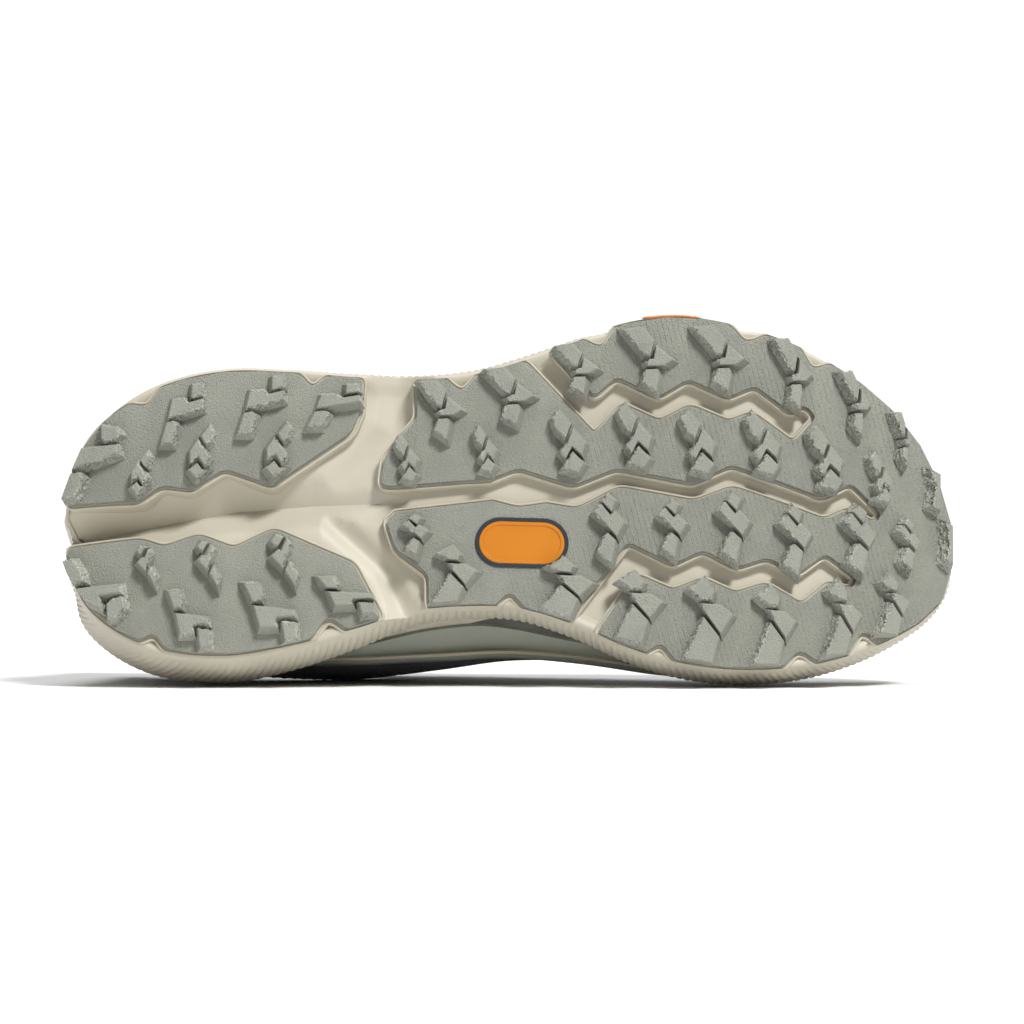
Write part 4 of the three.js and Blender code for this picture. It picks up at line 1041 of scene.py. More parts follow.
def midsole_rows():
    """Rows from the underside's middle over the wall and the rim, down to the bed and its middle."""
    shares = [i / AROUND for i in range(AROUND)]
    ledges = [wall_place(s, 0.0) for s in shares]
    rows = []
    spine = []
    for ledge in ledges:
        x = min(max(ledge.x, SPINE_START), SPINE_END)
        spine.append(Vector((x, spine_y(x))))
    # The first row closes the underside along the spine, where points share places and merge.
    middle = []
    for x in [round(p.x / SEAM_STEP) * SEAM_STEP for p in spine]:
        dug = dig_at(x, spine_y(x), FAR_FROM_EDGE)
        middle.append(Vector((x, spine_y(x), tread(x) + RUBBER + dug)))
    rows.append(middle)
    steps = 27
    for k in range(1, steps):
        row = []
        for start, ledge in zip(spine, ledges):
            edge = ledge.xy + (start - ledge.xy).normalized() * 1.2
            flat = start.lerp(edge, k / (steps - 1))
            from_edge = (ledge.xy - flat).length - 1.2
            low = tread(flat.x) + RUBBER
            dug = min(dig_at(flat.x, flat.y, from_edge), max(0.0, bed(flat.x) - LEAST_FOAM - low))
            row.append(Vector((flat.x, flat.y, low + dug)))
        rows.append(row)
    for height, inset in ((0.12, 0.55), (0.5, 0.16), (1.1, 0.0), (2.2, 0.0)):
        rows.append([lifted_wall(s, height, -inset) for s in shares])
    for rise in (0.1, 0.16, 0.23, 0.31, 0.39, 0.47, 0.55, 0.63, 0.71, 0.79, 0.86):
        fade = smoothstep(0.07, 0.2, rise) * (1 - smoothstep(0.8, 0.95, rise))
        rows.append(
            [wall_place(s, rise, RIB_HEIGHT * fade * RIB_FORM[i % RIB_POINTS]) for i, s in enumerate(shares)]
        )
    for rise, inset in ((0.93, 0.0), (0.97, 0.15), (0.995, 0.6), (1.0, 1.3)):
        rows.append([wall_place(s, rise, -inset) for s in shares])
    seats = [place_on_row(p.xy) for p in ledges]
    girth = last_row(0.0, 1.9)
    rim = [row_at(girth, seat) for seat in seats]
    rows.append([Vector((p.x, p.y, wall_top(p.x))) for p in rim])
    rows.append([Vector((p.x, p.y, wall_top(p.x) - 4.0)) for p in rim])
    for rise in (-10, -25, -40, -55, -70, -89):
        row = last_row(math.radians(rise), 0.3)
        rows.append([row_at(row, seat) for seat in seats])
    seam = [round(min(max(p.x, HEEL_CENTRE), TOE_CENTRE) / SEAM_STEP) * SEAM_STEP for p in rows[-1]]
    rows.append([Vector((x, last_centre(x), bed(x) - 0.3)) for x in seam])
    return [[over_channel(p) for p in row] for row in rows[:-INNER_ROWS]] + rows[-INNER_ROWS:]


def over_channel(point):
    """Lifts a point of the wall or the underside out of the channel where it runs out of the sole."""
    low = tread(point.x) + RUBBER + channel_at(point.x, point.y)
    return Vector((point.x, point.y, max(point.z, min(low, bed(point.x) - LEAST_FOAM))))


def lifted_wall(share, height, grow):
    """A point of the side wall at a height in millimetres over the rubber's back."""
    edge = outline_at(share)
    tall = wall_top(edge.x) - tread(edge.x) - RUBBER
    return wall_place(share, height / tall, grow)


# The pad's rim from the foam down to the rubber's back: how far out, and how high over the tread.
PAD_RIM = ((1.7, 9.0), (1.7, 2.4), (1.6, 1.75), (1.3, 1.45), (0.95, 1.5), (0.7, 1.85), (0.2, 1.95),
           (-1.2, 1.95))


def foam_pad(bm, outline):
    """A low pad with a beaded rim, under one rubber piece."""
    if signed_area(outline) < 0:
        outline = outline[::-1]
    fine = []
    for a, b in zip(outline, outline[1:] + outline[:1]):
        pieces = max(1, round((b - a).length / 2.5))
        fine += [a.lerp(b, k / pieces) for k in range(pieces)]
    rows = []
    for grow, height in PAD_RIM:
        ring = offset_loop(fine, [grow] * len(fine))
        rows.append([kept_inside(p, 0.45).to_3d() + Vector((0, 0, height)) for p in ring])
    skin(bm, rows, closed=True)


def midsole_piece():
    bm = bmesh.new()
    skin(bm, midsole_rows(), closed=True)
    bmesh.ops.remove_doubles(bm, verts=bm.verts[:], dist=0.004)
    pads = bmesh.new()
    for outline, _ in rubber_plan.values():
        foam_pad(pads, outline)
    bend(pads)
    bmesh.ops.recalc_face_normals(pads, faces=pads.faces[:])
    spare = bpy.data.meshes.new("pads")
    pads.to_mesh(spare)
    pads.free()
    bmesh.ops.recalc_face_normals(bm, faces=bm.faces[:])
    bm.from_mesh(spare)
    bpy.data.meshes.remove(spare)
    piece = finish_mesh("foam_midsole", bm, [foam], sharp=40, outwards=False)
    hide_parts("midsole")
    return piece


midsole = midsole_piece()

# %% [markdown]
# The upper is engineered mesh, knitted from black polyester yarn and bonded to a thin foam and a lining.
# It is pulled over the last wet and warm, so it takes the last's form, with slack only where the foot
# bends. Its outside and its lining are two skins that meet in a rolled edge at the collar and throat.

# %% Mesh and lining
def knit_material(name, low, high, pitch_mm, depth_mm, sheen):
    material, tree, shader, place = start_material(name, 0.72, 1.5, Sheen_Weight=sheen, Sheen_Roughness=0.45)
    tree.links.new(mottled(tree, place, low, high, 14.0, 0.25), shader.inputs["Base Color"])
    # Loops: nearly even cells at the yarn's pitch read as knitted stitches.
    values = {"Scale": 1000 / pitch_mm, "Randomness": 0.3}
    cells = add(tree, "ShaderNodeTexVoronoi", values, {"Vector": place})
    # Fuzz: loose yarn ends take the shine off and leave the cloth soft.
    fuzz = add(tree, "ShaderNodeTexNoise", {"Scale": 1000 / 0.5, "Detail": 2}, {"Vector": place})
    under = bumped(tree, shader, cells.outputs["Distance"], depth_mm, 0.9)
    bumped(tree, shader, fuzz.outputs["Fac"], 0.1, 0.4, under)
    return material


upper_knit = knit_material("knitted polyester mesh", "1D1D1F", "2A2A2C", 1.6, 0.45, 0.12)
lining_knit = knit_material("brushed lining knit", "232325", "2F2F31", 0.9, 0.15, 0.2)

# %% The upper's shell
THROAT_START = 112.0
THROAT_END = 202.0
THROAT_HALF = 17.0
THROAT_TAPER = 0.72
THROAT_FLOOR = HEEL_STACK + 25.0
THROAT_Y = last_centre((THROAT_START + THROAT_END) / 2)


def throat_form(grow):
    """Half the throat's width at the collar and at its round end, and where the round end starts."""
    half = THROAT_HALF + grow
    narrow = half * THROAT_TAPER
    return half, narrow, THROAT_END + grow - narrow


def throat_half_width(x):
    """Half the throat's width at x, or nothing beyond its round end."""
    half, narrow, centre = throat_form(0.0)
    if x <= THROAT_START:
        return half
    if x <= centre:
        return mix(half, narrow, (x - THROAT_START) / (centre - THROAT_START))
    return math.sqrt(max(0.0, narrow**2 - (x - centre) ** 2))


def collar_height(x):
    return collar_share(x) * HEEL_TAB


def is_open(point):
    if point.x <= THROAT_START and point.z > collar_height(point.x):
        return True
    in_throat = THROAT_START - 28 < point.x < THROAT_END and point.z > THROAT_FLOOR
    return in_throat and abs(point.y - THROAT_Y) < throat_half_width(point.x)


UPPER_WALL = 2.2
COLLAR_PADDING = 4.5
TURNED_EDGE = 11.0


def lining_depth(x, z):
    """How far the lining lies inside the mesh: a thin wall, and a thick pad round the ankle."""
    low = smoothstep(50, 78, z)
    back = 1 - smoothstep(70, 98, x)
    return -UPPER_WALL - COLLAR_PADDING * low * back


# Each flex line: its start, its end, its width and its depth.
CREASES = (
    ((205, -50), (214, -18), 3.2, 0.9),
    ((214, -18), (216, 14), 3.4, 1.0),
    ((216, 14), (207, 48), 3.2, 0.9),
    ((221, -46), (229, -8), 3.0, 0.6),
    ((229, -8), (226, 34), 3.0, 0.7),
    ((196, 52), (203, 30), 2.6, 0.6),
    ((193, -52), (199, -30), 2.6, 0.6),
)


def flex_at(point):
    """Soft troughs where the forefoot bends, each with a low fold in front of it."""
    depth = 0.0
    for start, end, width, deep in CREASES:
        start = Vector(start)
        run = Vector(end) - start
        t = min(max((point.xy - start).dot(run) / run.length_squared, 0.0), 1.0)
        away = point.xy - start - run * t
        depth -= deep * math.exp(-((away.length / width) ** 2))
        ahead = (away - Vector((5.5, 0))).length
        depth += 0.45 * deep * math.exp(-((ahead / width) ** 2))
    return depth * smoothstep(48, 60, point.z)


def upper_rows(grow, levels=46):
    """Rows from the turned edge underneath up to the collar, the throat or the ridge."""
    columns = []
    for plane in PLANES:
        margin = TURNED_EDGE / plane[2]
        low = -math.acos(max(0.0, 1 - margin) ** (last_square(plane[0]) / 2))
        high = bisect(lambda a: is_open(last_point(plane, a)), math.radians(12), math.pi / 2)
        fine = [last_point(plane, mix(low, high, k / 120), grow) for k in range(121)]
        reached = [0.0]
        for a, b in zip(fine, fine[1:]):
            reached.append(reached[-1] + (b - a).length)
        column_points = []
        at = 0
        for k in range(levels):
            goal = reached[-1] * k / (levels - 1)
            while at < 119 and reached[at + 1] < goal:
                at += 1
            t = (goal - reached[at]) / max(1e-6, reached[at + 1] - reached[at])
            column_points.append(fine[at].lerp(fine[at + 1], min(t, 1.0)))
        columns.append(column_points)
    return [[c[k] for c in columns] for k in range(levels)]


outer_rows = [[p + Vector((0, 0, flex_at(p))) for p in row] for row in upper_rows(0.0)]


def upper_piece(outer):
    bm = bmesh.new()
    skin(bm, outer, closed=True)
    skin(bm, upper_rows(lining_depth), closed=True, material=1)
    bmesh.ops.remove_doubles(bm, verts=bm.verts[:], dist=0.02)
    rims = [e for e in bm.edges if e.is_boundary]
    bottom = [e for e in rims if all(v.co.z < bed(v.co.x) + 14 for v in e.verts)]
    top = [e for e in rims if all(v.co.z > THROAT_FLOOR - 1 for v in e.verts)]
    print("edges round the opening:", len(top), "and underneath:", len(bottom), "of", len(rims))
    bridged = bmesh.ops.bridge_loops(bm, edges=top)
    for face in bridged["faces"]:
        face.material_index = 1
    bmesh.ops.bridge_loops(bm, edges=bottom)
    bmesh.ops.recalc_face_normals(bm, faces=bm.faces[:])
    rolled = [e for e in top if e.is_valid]
    bmesh.ops.bevel(bm, geom=rolled, offset=0.9, segments=3, profile=0.5, affect="EDGES", material=-1)
    piece = finish_mesh("knitted_upper", bm, [upper_knit, lining_knit], sharp=50)
    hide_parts("upper")
    return piece


upper = upper_piece(outer_rows)

# %% [markdown]
# A glossy band of thermoplastic film seals the joint between foam and mesh. It is welded on under heat
# and rolled on from the edge, so it bulges a little and its upper edge is thin and round.

# %% The band, the toe cap and the heel counter
def film_material(name, low, high, roughness, coat):
    coats = {"Coat_Weight": coat, "Coat_Roughness": 0.12}
    material, tree, shader, place = start_material(name, roughness, 1.5, **coats)
    tree.links.new(mottled(tree, place, low, high, 30.0, 0.3), shader.inputs["Base Color"])
    # Ripples: slow waves bend the reflections, as on film laid over cloth or foam.
    ripple = add(tree, "ShaderNodeTexNoise", {"Scale": 1000 / 9.0, "Detail": 1}, {"Vector": place})
    bumped(tree, shader, ripple.outputs["Fac"], 0.5, 0.25)
    return material


band_film = film_material("glossy welded film", "7A7E72", "868A7E", 0.34, 0.2)
overlay_film = film_material("satin welded film", "34373A", "3E4143", 0.42, 0.2)


def rise_at_height(plane, height, grow):
    """The rise at which a half section reaches a height that may change along the shoe."""
    return bisect(lambda a: last_point(plane, a, grow).z > height(last_point(plane, a, grow).x),
                  math.radians(-60), math.pi / 2)


def band_row(lift, grow):
    row = []
    for plane in PLANES:
        rise = rise_at_height(plane, lambda x: wall_top(x) + lift, 0.3)
        row.append(last_point(plane, rise, grow))
    return row


def rand_piece():
    profile = ((-4.0, 0.35), (-4.0, 1.9), (-1.0, 2.3), (1.0, 2.5), (3.0, 2.55), (5.0, 2.35), (6.4, 2.05),
               (7.1, 1.55), (7.3, 0.95), (7.0, 0.4), (3.0, 0.3), (-4.0, 0.35))
    bm = bmesh.new()
    skin(bm, [band_row(lift, grow) for lift, grow in profile], closed=True)
    piece = finish_mesh("welded_band", bm, [band_film], sharp=60)
    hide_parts("rand")
    return piece


FILM = 1.3
FILM_FACE = 1.7
CAP_LEVELS = 14
COUNTER_END = 78.0


def thicken(bm, thickness, rounding):
    """Gives a sheet of faces its thickness and rounds its edges."""
    bmesh.ops.recalc_face_normals(bm, faces=bm.faces[:])
    bmesh.ops.solidify(bm, geom=bm.faces[:], thickness=thickness)
    bmesh.ops.recalc_face_normals(bm, faces=bm.faces[:])
    sharp = [e for e in bm.edges if len(e.link_faces) == 2 and e.calc_face_angle(0) > math.radians(60)]
    bmesh.ops.bevel(bm, geom=sharp, offset=rounding, segments=2, profile=0.5, affect="EDGES",
                    material=-1)


def film_patch(name, bm, node):
    thicken(bm, FILM, 0.4)
    piece = finish_mesh(name, bm, [overlay_film], sharp=50)
    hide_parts(node)
    return piece


def overlay_foot(x):
    return wall_top(x) + 7.6


def between_heights(planes, low, high, grow, levels):
    """Columns of points between two heights on each half section, as rows."""
    columns = []
    for plane in planes:
        start = rise_at_height(plane, low, grow)
        end = max(start + 0.004, rise_at_height(plane, high, grow))
        columns.append([last_point(plane, mix(start, end, k / (levels - 1)), grow) for k in range(levels)])
    return [[c[k] for c in columns] for k in range(levels)]


def cap_start(y):
    """The toe cap's curved edge across the toes."""
    away = min(abs(y - last_centre(TOE_CENTRE)) / 40.0, 1.4)
    return 259.0 - 9.5 * away**2


def toe_cap_piece():
    fan = PLANES[SIDE_PLANES + 2 : SIDE_PLANES + FAN_PLANES - 1]
    columns = []
    for plane in fan:
        low = rise_at_height(plane, overlay_foot, FILM_FACE)
        foot = last_point(plane, low, FILM_FACE)
        if foot.x < cap_start(foot.y):
            continue

        def behind(a):
            point = last_point(plane, a, FILM_FACE)
            return point.x < cap_start(point.y)

        high = max(low + 0.004, bisect(behind, low, math.pi / 2))
        rises = [mix(low, high, k / (CAP_LEVELS - 1)) for k in range(CAP_LEVELS)]
        columns.append([last_point(plane, rise, FILM_FACE) for rise in rises])
    bm = bmesh.new()
    skin(bm, [[c[k] for c in columns] for k in range(CAP_LEVELS)], closed=False)
    return film_patch("film_toe_cap", bm, "toe_cap")


def heel_counter_piece():
    turned = PLANES[SIDE_PLANES + FAN_PLANES :] + PLANES[:SIDE_PLANES]
    back = [p for p in turned if p[0] < COUNTER_END]

    def counter_top(x):
        return overlay_foot(x) + 34.0 * (1 - smoothstep(20, COUNTER_END, x))

    bm = bmesh.new()
    skin(bm, between_heights(back, overlay_foot, counter_top, FILM_FACE, 12), closed=False)
    return film_patch("film_heel_counter", bm, "heel_counter")


rand = rand_piece()
toe_cap = toe_cap_piece()
heel_counter = heel_counter_piece()

# %% [markdown]
# The throat has a film facing that keeps the eyelets from tearing out. The tongue lies under it on the
# instep, and the lace runs from side to side through the eyelets.

# %% Eyestay, tongue, insole and laces
def roof_height(x, y, grow):
    square = last_square(x)
    share = min(1.0, abs(y - last_centre(x)) / (last_half(x) + grow))
    girth = girth_height(x)
    return girth + (last_ridge(x) * INSTEP + grow - girth) * (1 - share**square) ** (1 / square)


def throat_line(grow, count=60):
    """A U round the throat at a distance from it, from the lateral end to the medial end."""
    half, narrow, centre = throat_form(grow)
    start = THROAT_START - 0.45 * grow
    line = []
    for k in range(count):
        t = k / (count - 1)
        line.append(Vector((mix(start, centre, t), -mix(half, narrow, t))))
    turns = [math.pi * (k / 18 - 0.5) for k in range(1, 18)]
    bow = [Vector((centre + narrow * math.cos(a), narrow * math.sin(a))) for a in turns]
    line += bow + [Vector((p.x, -p.y)) for p in reversed(line)]
    return [Vector((p.x, p.y + THROAT_Y, roof_height(p.x, p.y + THROAT_Y, FILM_FACE))) for p in line]


def eyestay_piece():
    bm = bmesh.new()
    skin(bm, [throat_line(g) for g in (0.5, 2, 4, 6, 8, 10, 12, 14)], closed=False)
    return film_patch("film_eyestay", bm, "eyestay")


eyestay = eyestay_piece()
tongue_knit = knit_material("padded tongue knit", "232325", "2F2F31", 1.3, 0.3, 0.15)
insole_cloth = knit_material("brushed insole knit", "4A4B45", "5A5B54", 1.0, 0.15, 0.5)


def rounded_section(count, half, thick, square=0.42):
    ring = []
    for k in range(count):
        a = 2 * math.pi * k / count
        c, s = math.cos(a), math.sin(a)
        ring.append((half * math.copysign(abs(c) ** square, c), thick / 2 * math.copysign(abs(s) ** 0.7, s)))
    return ring


TONGUE_START = 98.0
TONGUE_END = 209.0
TONGUE_THICK = 5.0
QUILT_HALF = 9.0
QUILT_STEP = 22


def tongue_piece():
    """A flat pad under the throat, with two long quilting lines and lines across between them."""
    rows = []
    stations = 64
    for k in range(stations + 1):
        t = k / stations
        x = mix(TONGUE_START, TONGUE_END, t)
        ends = min(1.0, math.sin(math.pi * min(max(t, 0.0), 1.0)) * 9) ** 0.5
        half = mix(27.0, 19.0, smoothstep(132, 202, x)) * mix(0.55, 1.0, ends)
        thick = TONGUE_THICK * mix(0.15, 1.0, ends)
        row = []
        for across, up in rounded_section(40, half, thick):
            y = last_centre(THROAT_START) + across
            quilt = 0.0
            if up > 0:
                quilt += 0.5 * math.exp(-(((abs(across) - QUILT_HALF) / 0.9) ** 2))
            if up > 0 and abs(across) < QUILT_HALF:
                from_line = (x - 104) % QUILT_STEP - QUILT_STEP / 2
                quilt += 0.4 * math.exp(-(from_line**2) / 1.2)
            row.append(Vector((x, y, roof_height(x, y, -5.0) + up - quilt)))
        rows.append(row)
    bm = bmesh.new()
    skin(bm, rows, closed=True)
    close_holes(bm)
    piece = finish_mesh("padded_tongue", bm, [tongue_knit], sharp=60)
    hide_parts("tongue")
    return piece


INSOLE_GAP = 2.6


def insole_piece():
    def ring(inset, height):
        row = []
        for start, turn, reach in PLANES:
            out = max(0.0, reach * 0.97 - INSOLE_GAP - inset)
            x = start + math.cos(turn) * out
            y = last_centre(start) + math.sin(turn) * out
            row.append(Vector((x, y + TOE_SWING * toe_share(x) ** 2, bed(x) + height)))
        return row

    profile = ((60, 2.7), (6, 2.7), (2.5, 3.2), (0.6, 5.0), (0.0, 6.4), (0.7, 7.0), (2.0, 6.9), (8, 6.4),
               (18, 6.6), (60, 6.9))
    bm = bmesh.new()
    skin(bm, [ring(inset, height) for inset, height in profile], closed=True)
    piece = finish_mesh("cloth_insole", bm, [insole_cloth], sharp=60)
    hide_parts("insole")
    return piece


tongue = tongue_piece()
insole = insole_piece()


def braid_material():
    material, tree, shader, place = start_material("woven flat braid", 0.7, 1.5, Sheen_Weight=0.3)
    tree.links.new(mottled(tree, place, "6E7266", "858A7C", 3.0, 0.2), shader.inputs["Base Color"])
    # Plait: slanting, slightly uneven bands read as the crossing yarns of a flat braid.
    values = {"Scale": WAVES / 1.1, "Distortion": 1.5}
    weave = add(tree, "ShaderNodeTexWave", values, {"Vector": place}, bands_direction="DIAGONAL")
    bumped(tree, shader, weave.outputs["Fac"], 0.2, 0.7)
    return material


lace_braid = braid_material()
LACE_HALF = 2.6
LACE_THICK = 1.5
LACE_LIFT = 3.3
LACE_DIP = 4.2
LACE_ROWS = 5
LACE_STEP = (THROAT_END - THROAT_START - 22.0) / (LACE_ROWS - 1)
LACE_PLACES = [THROAT_START + 8.0 + LACE_STEP * i for i in range(LACE_ROWS)]


def lace_reach(x):
    """How far from the throat's middle the eyelets are."""
    return (THROAT_HALF + 7.0) * mix(1.0, 0.8, (x - THROAT_START) / (THROAT_END - THROAT_START))


def lace_run(bm, start_x, end_x, way, over):
    """One flat run over the tongue, both of its ends going down into an eyelet."""
    rows = []
    steps = 30
    for k in range(steps + 1):
        share = 2 * k / steps - 1
        x = mix(start_x, end_x, (share + 1) / 2)
        y = THROAT_Y + way * share * lace_reach(x)
        raised = over * math.exp(-((share / 0.22) ** 2))
        sunk = LACE_DIP * max(0.0, (abs(share) - 0.93) / 0.07) ** 1.5
        rows.append(Vector((x, y, roof_height(x, y, LACE_LIFT + raised - sunk))))
    loops = []
    for k, centre in enumerate(rows):
        run = (rows[min(k + 1, steps)] - rows[max(k - 1, 0)]).normalized()
        side = Vector((-run.y, run.x, 0)).normalized()
        up = side.cross(run).normalized()
        if up.z < 0:
            up = -up
        section = rounded_section(14, LACE_HALF, LACE_THICK, 0.6)
        loops.append([centre + side * a + up * b for a, b in section])
    skin(bm, loops, closed=True)


def laces_piece():
    bm = bmesh.new()
    for i, (low, high) in enumerate(zip(LACE_PLACES, LACE_PLACES[1:])):
        # The two runs of a crossing take turns in lying on top.
        lace_run(bm, low, high, 1, 1.7 if i % 2 else 0.0)
        lace_run(bm, low, high, -1, 0.0 if i % 2 else 1.7)
    lace_run(bm, LACE_PLACES[-1], LACE_PLACES[-1], 1, 0.0)
    close_holes(bm)
    piece = finish_mesh("flat_laces", bm, [lace_braid], sharp=60)
    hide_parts("laces")
    return piece


laces = laces_piece()

# %% [markdown]
# Punched eyelets would fray, so each hole in the facing has a pressed metal ring. Along the facing and the
# collar, pairs of pieces are sewn with thick thread: every stitch is a short bar that dips into the cloth at
# both ends.

# %% Eyelets and stitches
def ring_metal():
    material, tree, shader, place = start_material("dark lacquered brass", 0.35, 1.5, Metallic=0.8)
    tree.links.new(mottled(tree, place, "3A3C3E", "4C4E50", 2.0, 0.2), shader.inputs["Base Color"])
    # Press marks: shallow dents break up the reflections, so the rings look worn and not like a mirror.
    marks = add(tree, "ShaderNodeTexNoise", {"Scale": 1000 / 0.6, "Detail": 2}, {"Vector": place})
    bumped(tree, shader, marks.outputs["Fac"], 0.03, 0.3)
    return material


def thread_material():
    material, tree, shader, place = start_material("waxed polyester thread", 0.6, 1.5, Sheen_Weight=0.2)
    tree.links.new(mottled(tree, place, "4A4C4A", "5E605C", 1.5, 0.2), shader.inputs["Base Color"])
    # Twist: slanting bands a third of a millimetre apart show that the thread is spun from strands.
    values = {"Scale": WAVES / 0.35}
    twist = add(tree, "ShaderNodeTexWave", values, {"Vector": place}, bands_direction="DIAGONAL")
    bumped(tree, shader, twist.outputs["Fac"], 0.08, 0.6)
    return material


def surface_turn(x, y, grow):
    """A turn that lays a flat thing on the instep at a place."""
    here = Vector((x, y, roof_height(x, y, grow)))
    ahead = Vector((x + 1, y, roof_height(x + 1, y, grow))) - here
    beside = Vector((x, y + 1, roof_height(x, y + 1, grow))) - here
    up = ahead.cross(beside).normalized()
    ahead.normalize()
    return Matrix.Translation(here) @ Matrix((ahead, up.cross(ahead), up)).transposed().to_4x4()


RING_REACH = 2.9
RING_WIDTH = 0.85
RING_HEIGHT = 0.5
STITCHED_TO = 98.0


def full_turn(count):
    return [2 * math.pi * i / count for i in range(count)]


def eyelet_rings():
    bm = bmesh.new()
    for x in LACE_PLACES:
        for side in (-1, 1):
            placed = surface_turn(x, THROAT_Y + side * lace_reach(x), 1.75)
            rows = []
            for a in full_turn(12):
                reach = RING_REACH + RING_WIDTH * math.cos(a)
                lift = RING_HEIGHT * math.sin(a)
                ring = [Vector((reach * math.cos(t), reach * math.sin(t), lift)) for t in full_turn(32)]
                rows.append([placed @ point for point in ring])
            skin(bm, rows + rows[:1], closed=True)
    piece = finish_mesh("eyelet_rings", bm, [ring_metal()], sharp=60)
    return piece


def stitch_line(bm, line, length=2.4, gap=1.1, thick=0.32):
    """Short bars along a line of places and outward directions, each dipping in at its ends."""
    travelled_to = [0.0]
    for (a, _), (b, _) in zip(line, line[1:]):
        travelled_to.append(travelled_to[-1] + (b - a).length)

    def at(distance):
        i = next((n for n, d in enumerate(travelled_to) if d >= distance), len(line) - 1)
        i = max(1, i)
        t = (distance - travelled_to[i - 1]) / max(1e-6, travelled_to[i] - travelled_to[i - 1])
        t = min(max(t, 0.0), 1.0)
        return line[i - 1][0].lerp(line[i][0], t), line[i - 1][1].lerp(line[i][1], t).normalized()

    start = gap
    while start + length < travelled_to[-1]:
        rows = []
        for k in range(5):
            share = k / 4
            place, up = at(start + length * share)
            ahead = (at(start + length * share + 0.3)[0] - at(start + length * share - 0.3)[0]).normalized()
            side = up.cross(ahead).normalized()
            centre = place + up * (0.45 * thick - 1.5 * thick * abs(2 * share - 1) ** 3)
            rows.append([centre + (side * math.cos(t) + up * math.sin(t)) * thick for t in full_turn(6)])
        skin(bm, rows, closed=True)
        start += length + gap


def with_directions(points):
    """Pairs each point with the direction away from a line inside the shoe."""
    pairs = []
    for p in points:
        x = min(max(p.x, HEEL_CENTRE), TOE_CENTRE)
        pairs.append((p, (p - Vector((x, last_centre(p.x), girth_height(p.x)))).normalized()))
    return pairs


def stitches_piece():
    bm = bmesh.new()
    for grow in (2.2, 12.4):
        stitch_line(bm, with_directions(throat_line(grow)))
    turned = [*range(SIDE_PLANES + FAN_PLANES, len(PLANES)), *range(SIDE_PLANES)]
    back = [i for i in turned if PLANES[i][0] < STITCHED_TO]
    for row in (-3, -4):
        stitch_line(bm, with_directions([outer_rows[row][i] for i in back]), thick=0.28)
    close_holes(bm)
    piece = finish_mesh("sewn_stitches", bm, [thread_material()], sharp=80)
    return piece


rings = eyelet_rings()
stitches = stitches_piece()

# %% [markdown]
# The waist of the sole has a plain rounded inlay: an orange film with a raised border in a dark frame.
# The lateral wall has a rubber patch that wraps up at the ball, with a small plain strip on it.

# %% Inlay, wrap and strip
rim_film = film_material("dark printed film", "0F1B28", "152230", 0.45, 0.1)
inlay_film = film_material("orange printed film", "B86C00", "C47600", 0.38, 0.3)
strip_film = film_material("orange moulded strip", "DE730A", "E67C12", 0.4, 0.3)
BADGE_CENTRE = Vector((153.9, 12.84))


BADGE_HALF = 15.5
BADGE_ROUND = 8.5
BADGE_TURN = 0.03


def stadium(grow, height):
    """An outline with two straight sides and two round ends, turned a little as in the sole."""
    half = BADGE_HALF + grow
    round_end = BADGE_ROUND + grow
    loop = []
    for side in (0, 1):
        for k in range(25):
            a = math.pi * (k / 24 - 0.5 + side)
            centre = (half - round_end) * (1 - 2 * side)
            loop.append(Vector((centre + round_end * math.cos(a), round_end * math.sin(a))))
    turned = Matrix.Rotation(BADGE_TURN, 2)
    return [(turned @ p + BADGE_CENTRE).to_3d() + Vector((0, 0, height)) for p in loop]


def badge_ring():
    profile = ((0, 0.8), (0, -0.45), (-0.15, -0.6), (-1.1, -0.6), (-1.25, -0.45), (-1.25, 0.8), (0, 0.8))
    bm = bmesh.new()
    skin(bm, [stadium(grow, height) for grow, height in profile], closed=True)
    bend(bm)
    piece = finish_mesh("inlay_frame", bm, [rim_film], sharp=40)
    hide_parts("sole_badge_frame")
    return piece


def badge_field():
    profile = ((-1.3, 0.8), (-1.3, -0.3), (-1.45, -0.45), (-2.5, -0.45), (-2.7, -0.15), (-7.5, -0.15))
    bm = bmesh.new()
    skin(bm, [stadium(grow, height) for grow, height in profile], closed=True)
    close_holes(bm)
    bend(bm)
    piece = finish_mesh("inlay_face", bm, [inlay_film], sharp=40)
    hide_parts("sole_badge_face")
    return piece


def share_at(x):
    """The share of the outline's length at which its lateral side reaches x."""
    best = min((abs(p.x - x), i) for i, p in enumerate(outline_places) if p.y < 0)
    return best[1] / EVEN


def wall_patch(name, centre_x, length, low, high, inner, outer, material, node):
    """A rounded patch on the lateral wall, thin at its rim."""
    bm = bmesh.new()
    start = share_at(centre_x - length / 2)
    end = share_at(centre_x + length / 2)
    columns = 44
    levels = 22
    corner = 2.2
    rows = []
    for k in range(levels + 1):
        row = []
        height = mix(low, high, k / levels)
        near = max(0.0, corner - min(height - low, high - height))
        inset = (corner - math.sqrt(max(0.0, corner**2 - near**2))) / length
        for i in range(columns + 1):
            share = mix(start, end, mix(inset, 1 - inset, i / columns))
            edge = outline_at(share)
            tall = wall_top(edge.x) - tread(edge.x) - RUBBER
            row.append(wall_place(share, (height - RUBBER) / tall, outer))
        rows.append(row)
    skin(bm, rows, closed=False)
    thicken(bm, outer - inner, 0.35)
    piece = finish_mesh(name, bm, [material], sharp=50)
    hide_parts(node)
    return piece


inlay_frame = badge_ring()
inlay_face = badge_field()
side_patch = wall_patch("rubber_side_patch", 203.4, 38.0, 2.5, 19.5, 0.2, 1.5, tread_rubber, "side_wrap")
side_strip = wall_patch("plain_side_strip", 203.2, 18.2, 7.5, 14.5, 1.4, 2.5, strip_film, "side_badge")

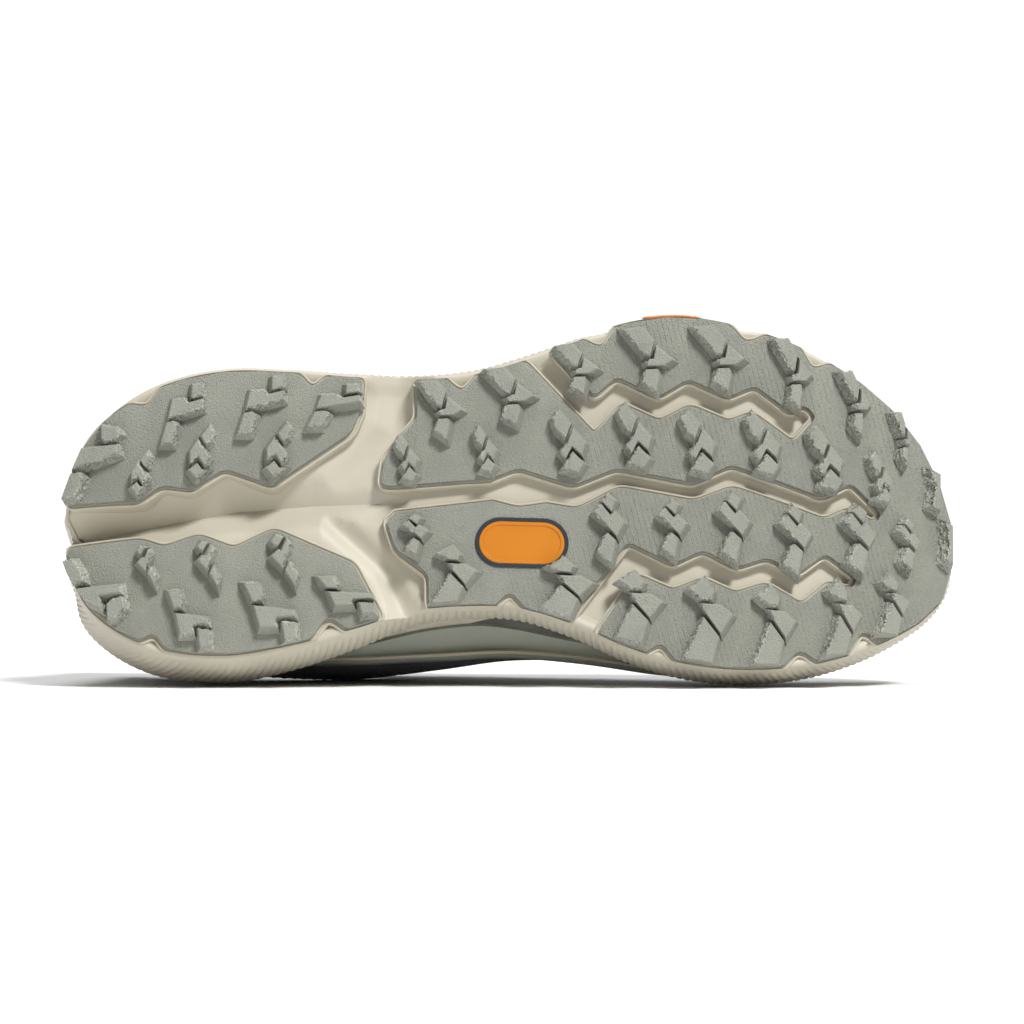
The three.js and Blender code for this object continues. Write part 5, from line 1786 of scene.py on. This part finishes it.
# %% [markdown]
# The floor is a plain white sweep. The camera looks level along the floor, as in the photo, with a long
# lens. A soft light from above, the right and in front gives the grey rubber its shadows, a wider one
# from overhead lights the floor, and a dim surround fills the shadows.

# %% Floor, camera and light
def flat_sheet(name, corners, material):
    bm = bmesh.new()
    bm.faces.new([bm.verts.new(c) for c in corners])
    bmesh.ops.recalc_face_normals(bm, faces=bm.faces[:])
    mesh = bpy.data.meshes.new(name)
    bm.to_mesh(mesh)
    bm.free()
    mesh.materials.append(material)
    sheet = bpy.data.objects.new(name, mesh)
    bpy.context.scene.collection.objects.link(sheet)
    return sheet


def paper_material():
    material, tree, shader, place = start_material("white paper sweep", 0.9, 1.45)
    tree.links.new(mottled(tree, place, "F4F4F4", "F8F8F8", 300.0, 0.3), shader.inputs["Base Color"])
    # Fibres: so faint that the paper only looks soft.
    fibre = add(tree, "ShaderNodeTexNoise", {"Scale": 1000 / 2.0, "Detail": 2}, {"Vector": place})
    bumped(tree, shader, fibre.outputs["Fac"], 0.05, 0.2)
    return material


paper = paper_material()
floor = flat_sheet("floor", [(-4, -4, 0), (4, -4, 0), (4, 4, 0), (-4, 4, 0)], paper)

camera_data = bpy.data.cameras.new("camera")
camera_data.lens = 159.5
camera_data.sensor_width = 36.0
camera_data.clip_start = 0.05
camera_data.dof.use_dof = False
camera = bpy.data.objects.new("camera", camera_data)
camera.location = (0.0007, -1.555, 0.0583)
camera.rotation_euler = (math.radians(90), 0, 0)
bpy.context.scene.collection.objects.link(camera)
bpy.context.scene.camera = camera


def far_light(name, towards, angle, strength):
    """A light so far away that it is the same all over the floor. A wide angle makes it soft."""
    data = bpy.data.lights.new(name, "SUN")
    data.angle = math.radians(angle)
    data.energy = strength
    lamp = bpy.data.objects.new(name, data)
    lamp.rotation_euler = Vector(towards).to_track_quat("Z", "Y").to_euler()
    bpy.context.scene.collection.objects.link(lamp)
    return lamp


key = far_light("key", (0.42, -0.6, 0.85), 14, 3.4)
overhead = far_light("overhead", (0.0, 0.1, 1.0), 30, 1.7)

# The surround is dim in front of the shoe and white behind it, like a studio with a lit backdrop.
world = bpy.data.worlds.new("studio surround")
world.use_nodes = True
tree = world.node_tree
facing = add(tree, "ShaderNodeTexCoord").outputs["Object"]
parts = add(tree, "ShaderNodeSeparateXYZ", links={"Vector": facing})
values = {"From Min": 0.86, "From Max": 0.95, "To Min": 0.18, "To Max": 1.05}
white_behind = add(tree, "ShaderNodeMapRange", values, {"Value": parts.outputs["Y"]})
tree.nodes["Background"].inputs["Color"].default_value = srgb("FFFFFF")
tree.links.new(white_behind.outputs["Result"], tree.nodes["Background"].inputs["Strength"])
bpy.context.scene.world = world
bpy.context.scene.view_settings.view_transform = "Standard"
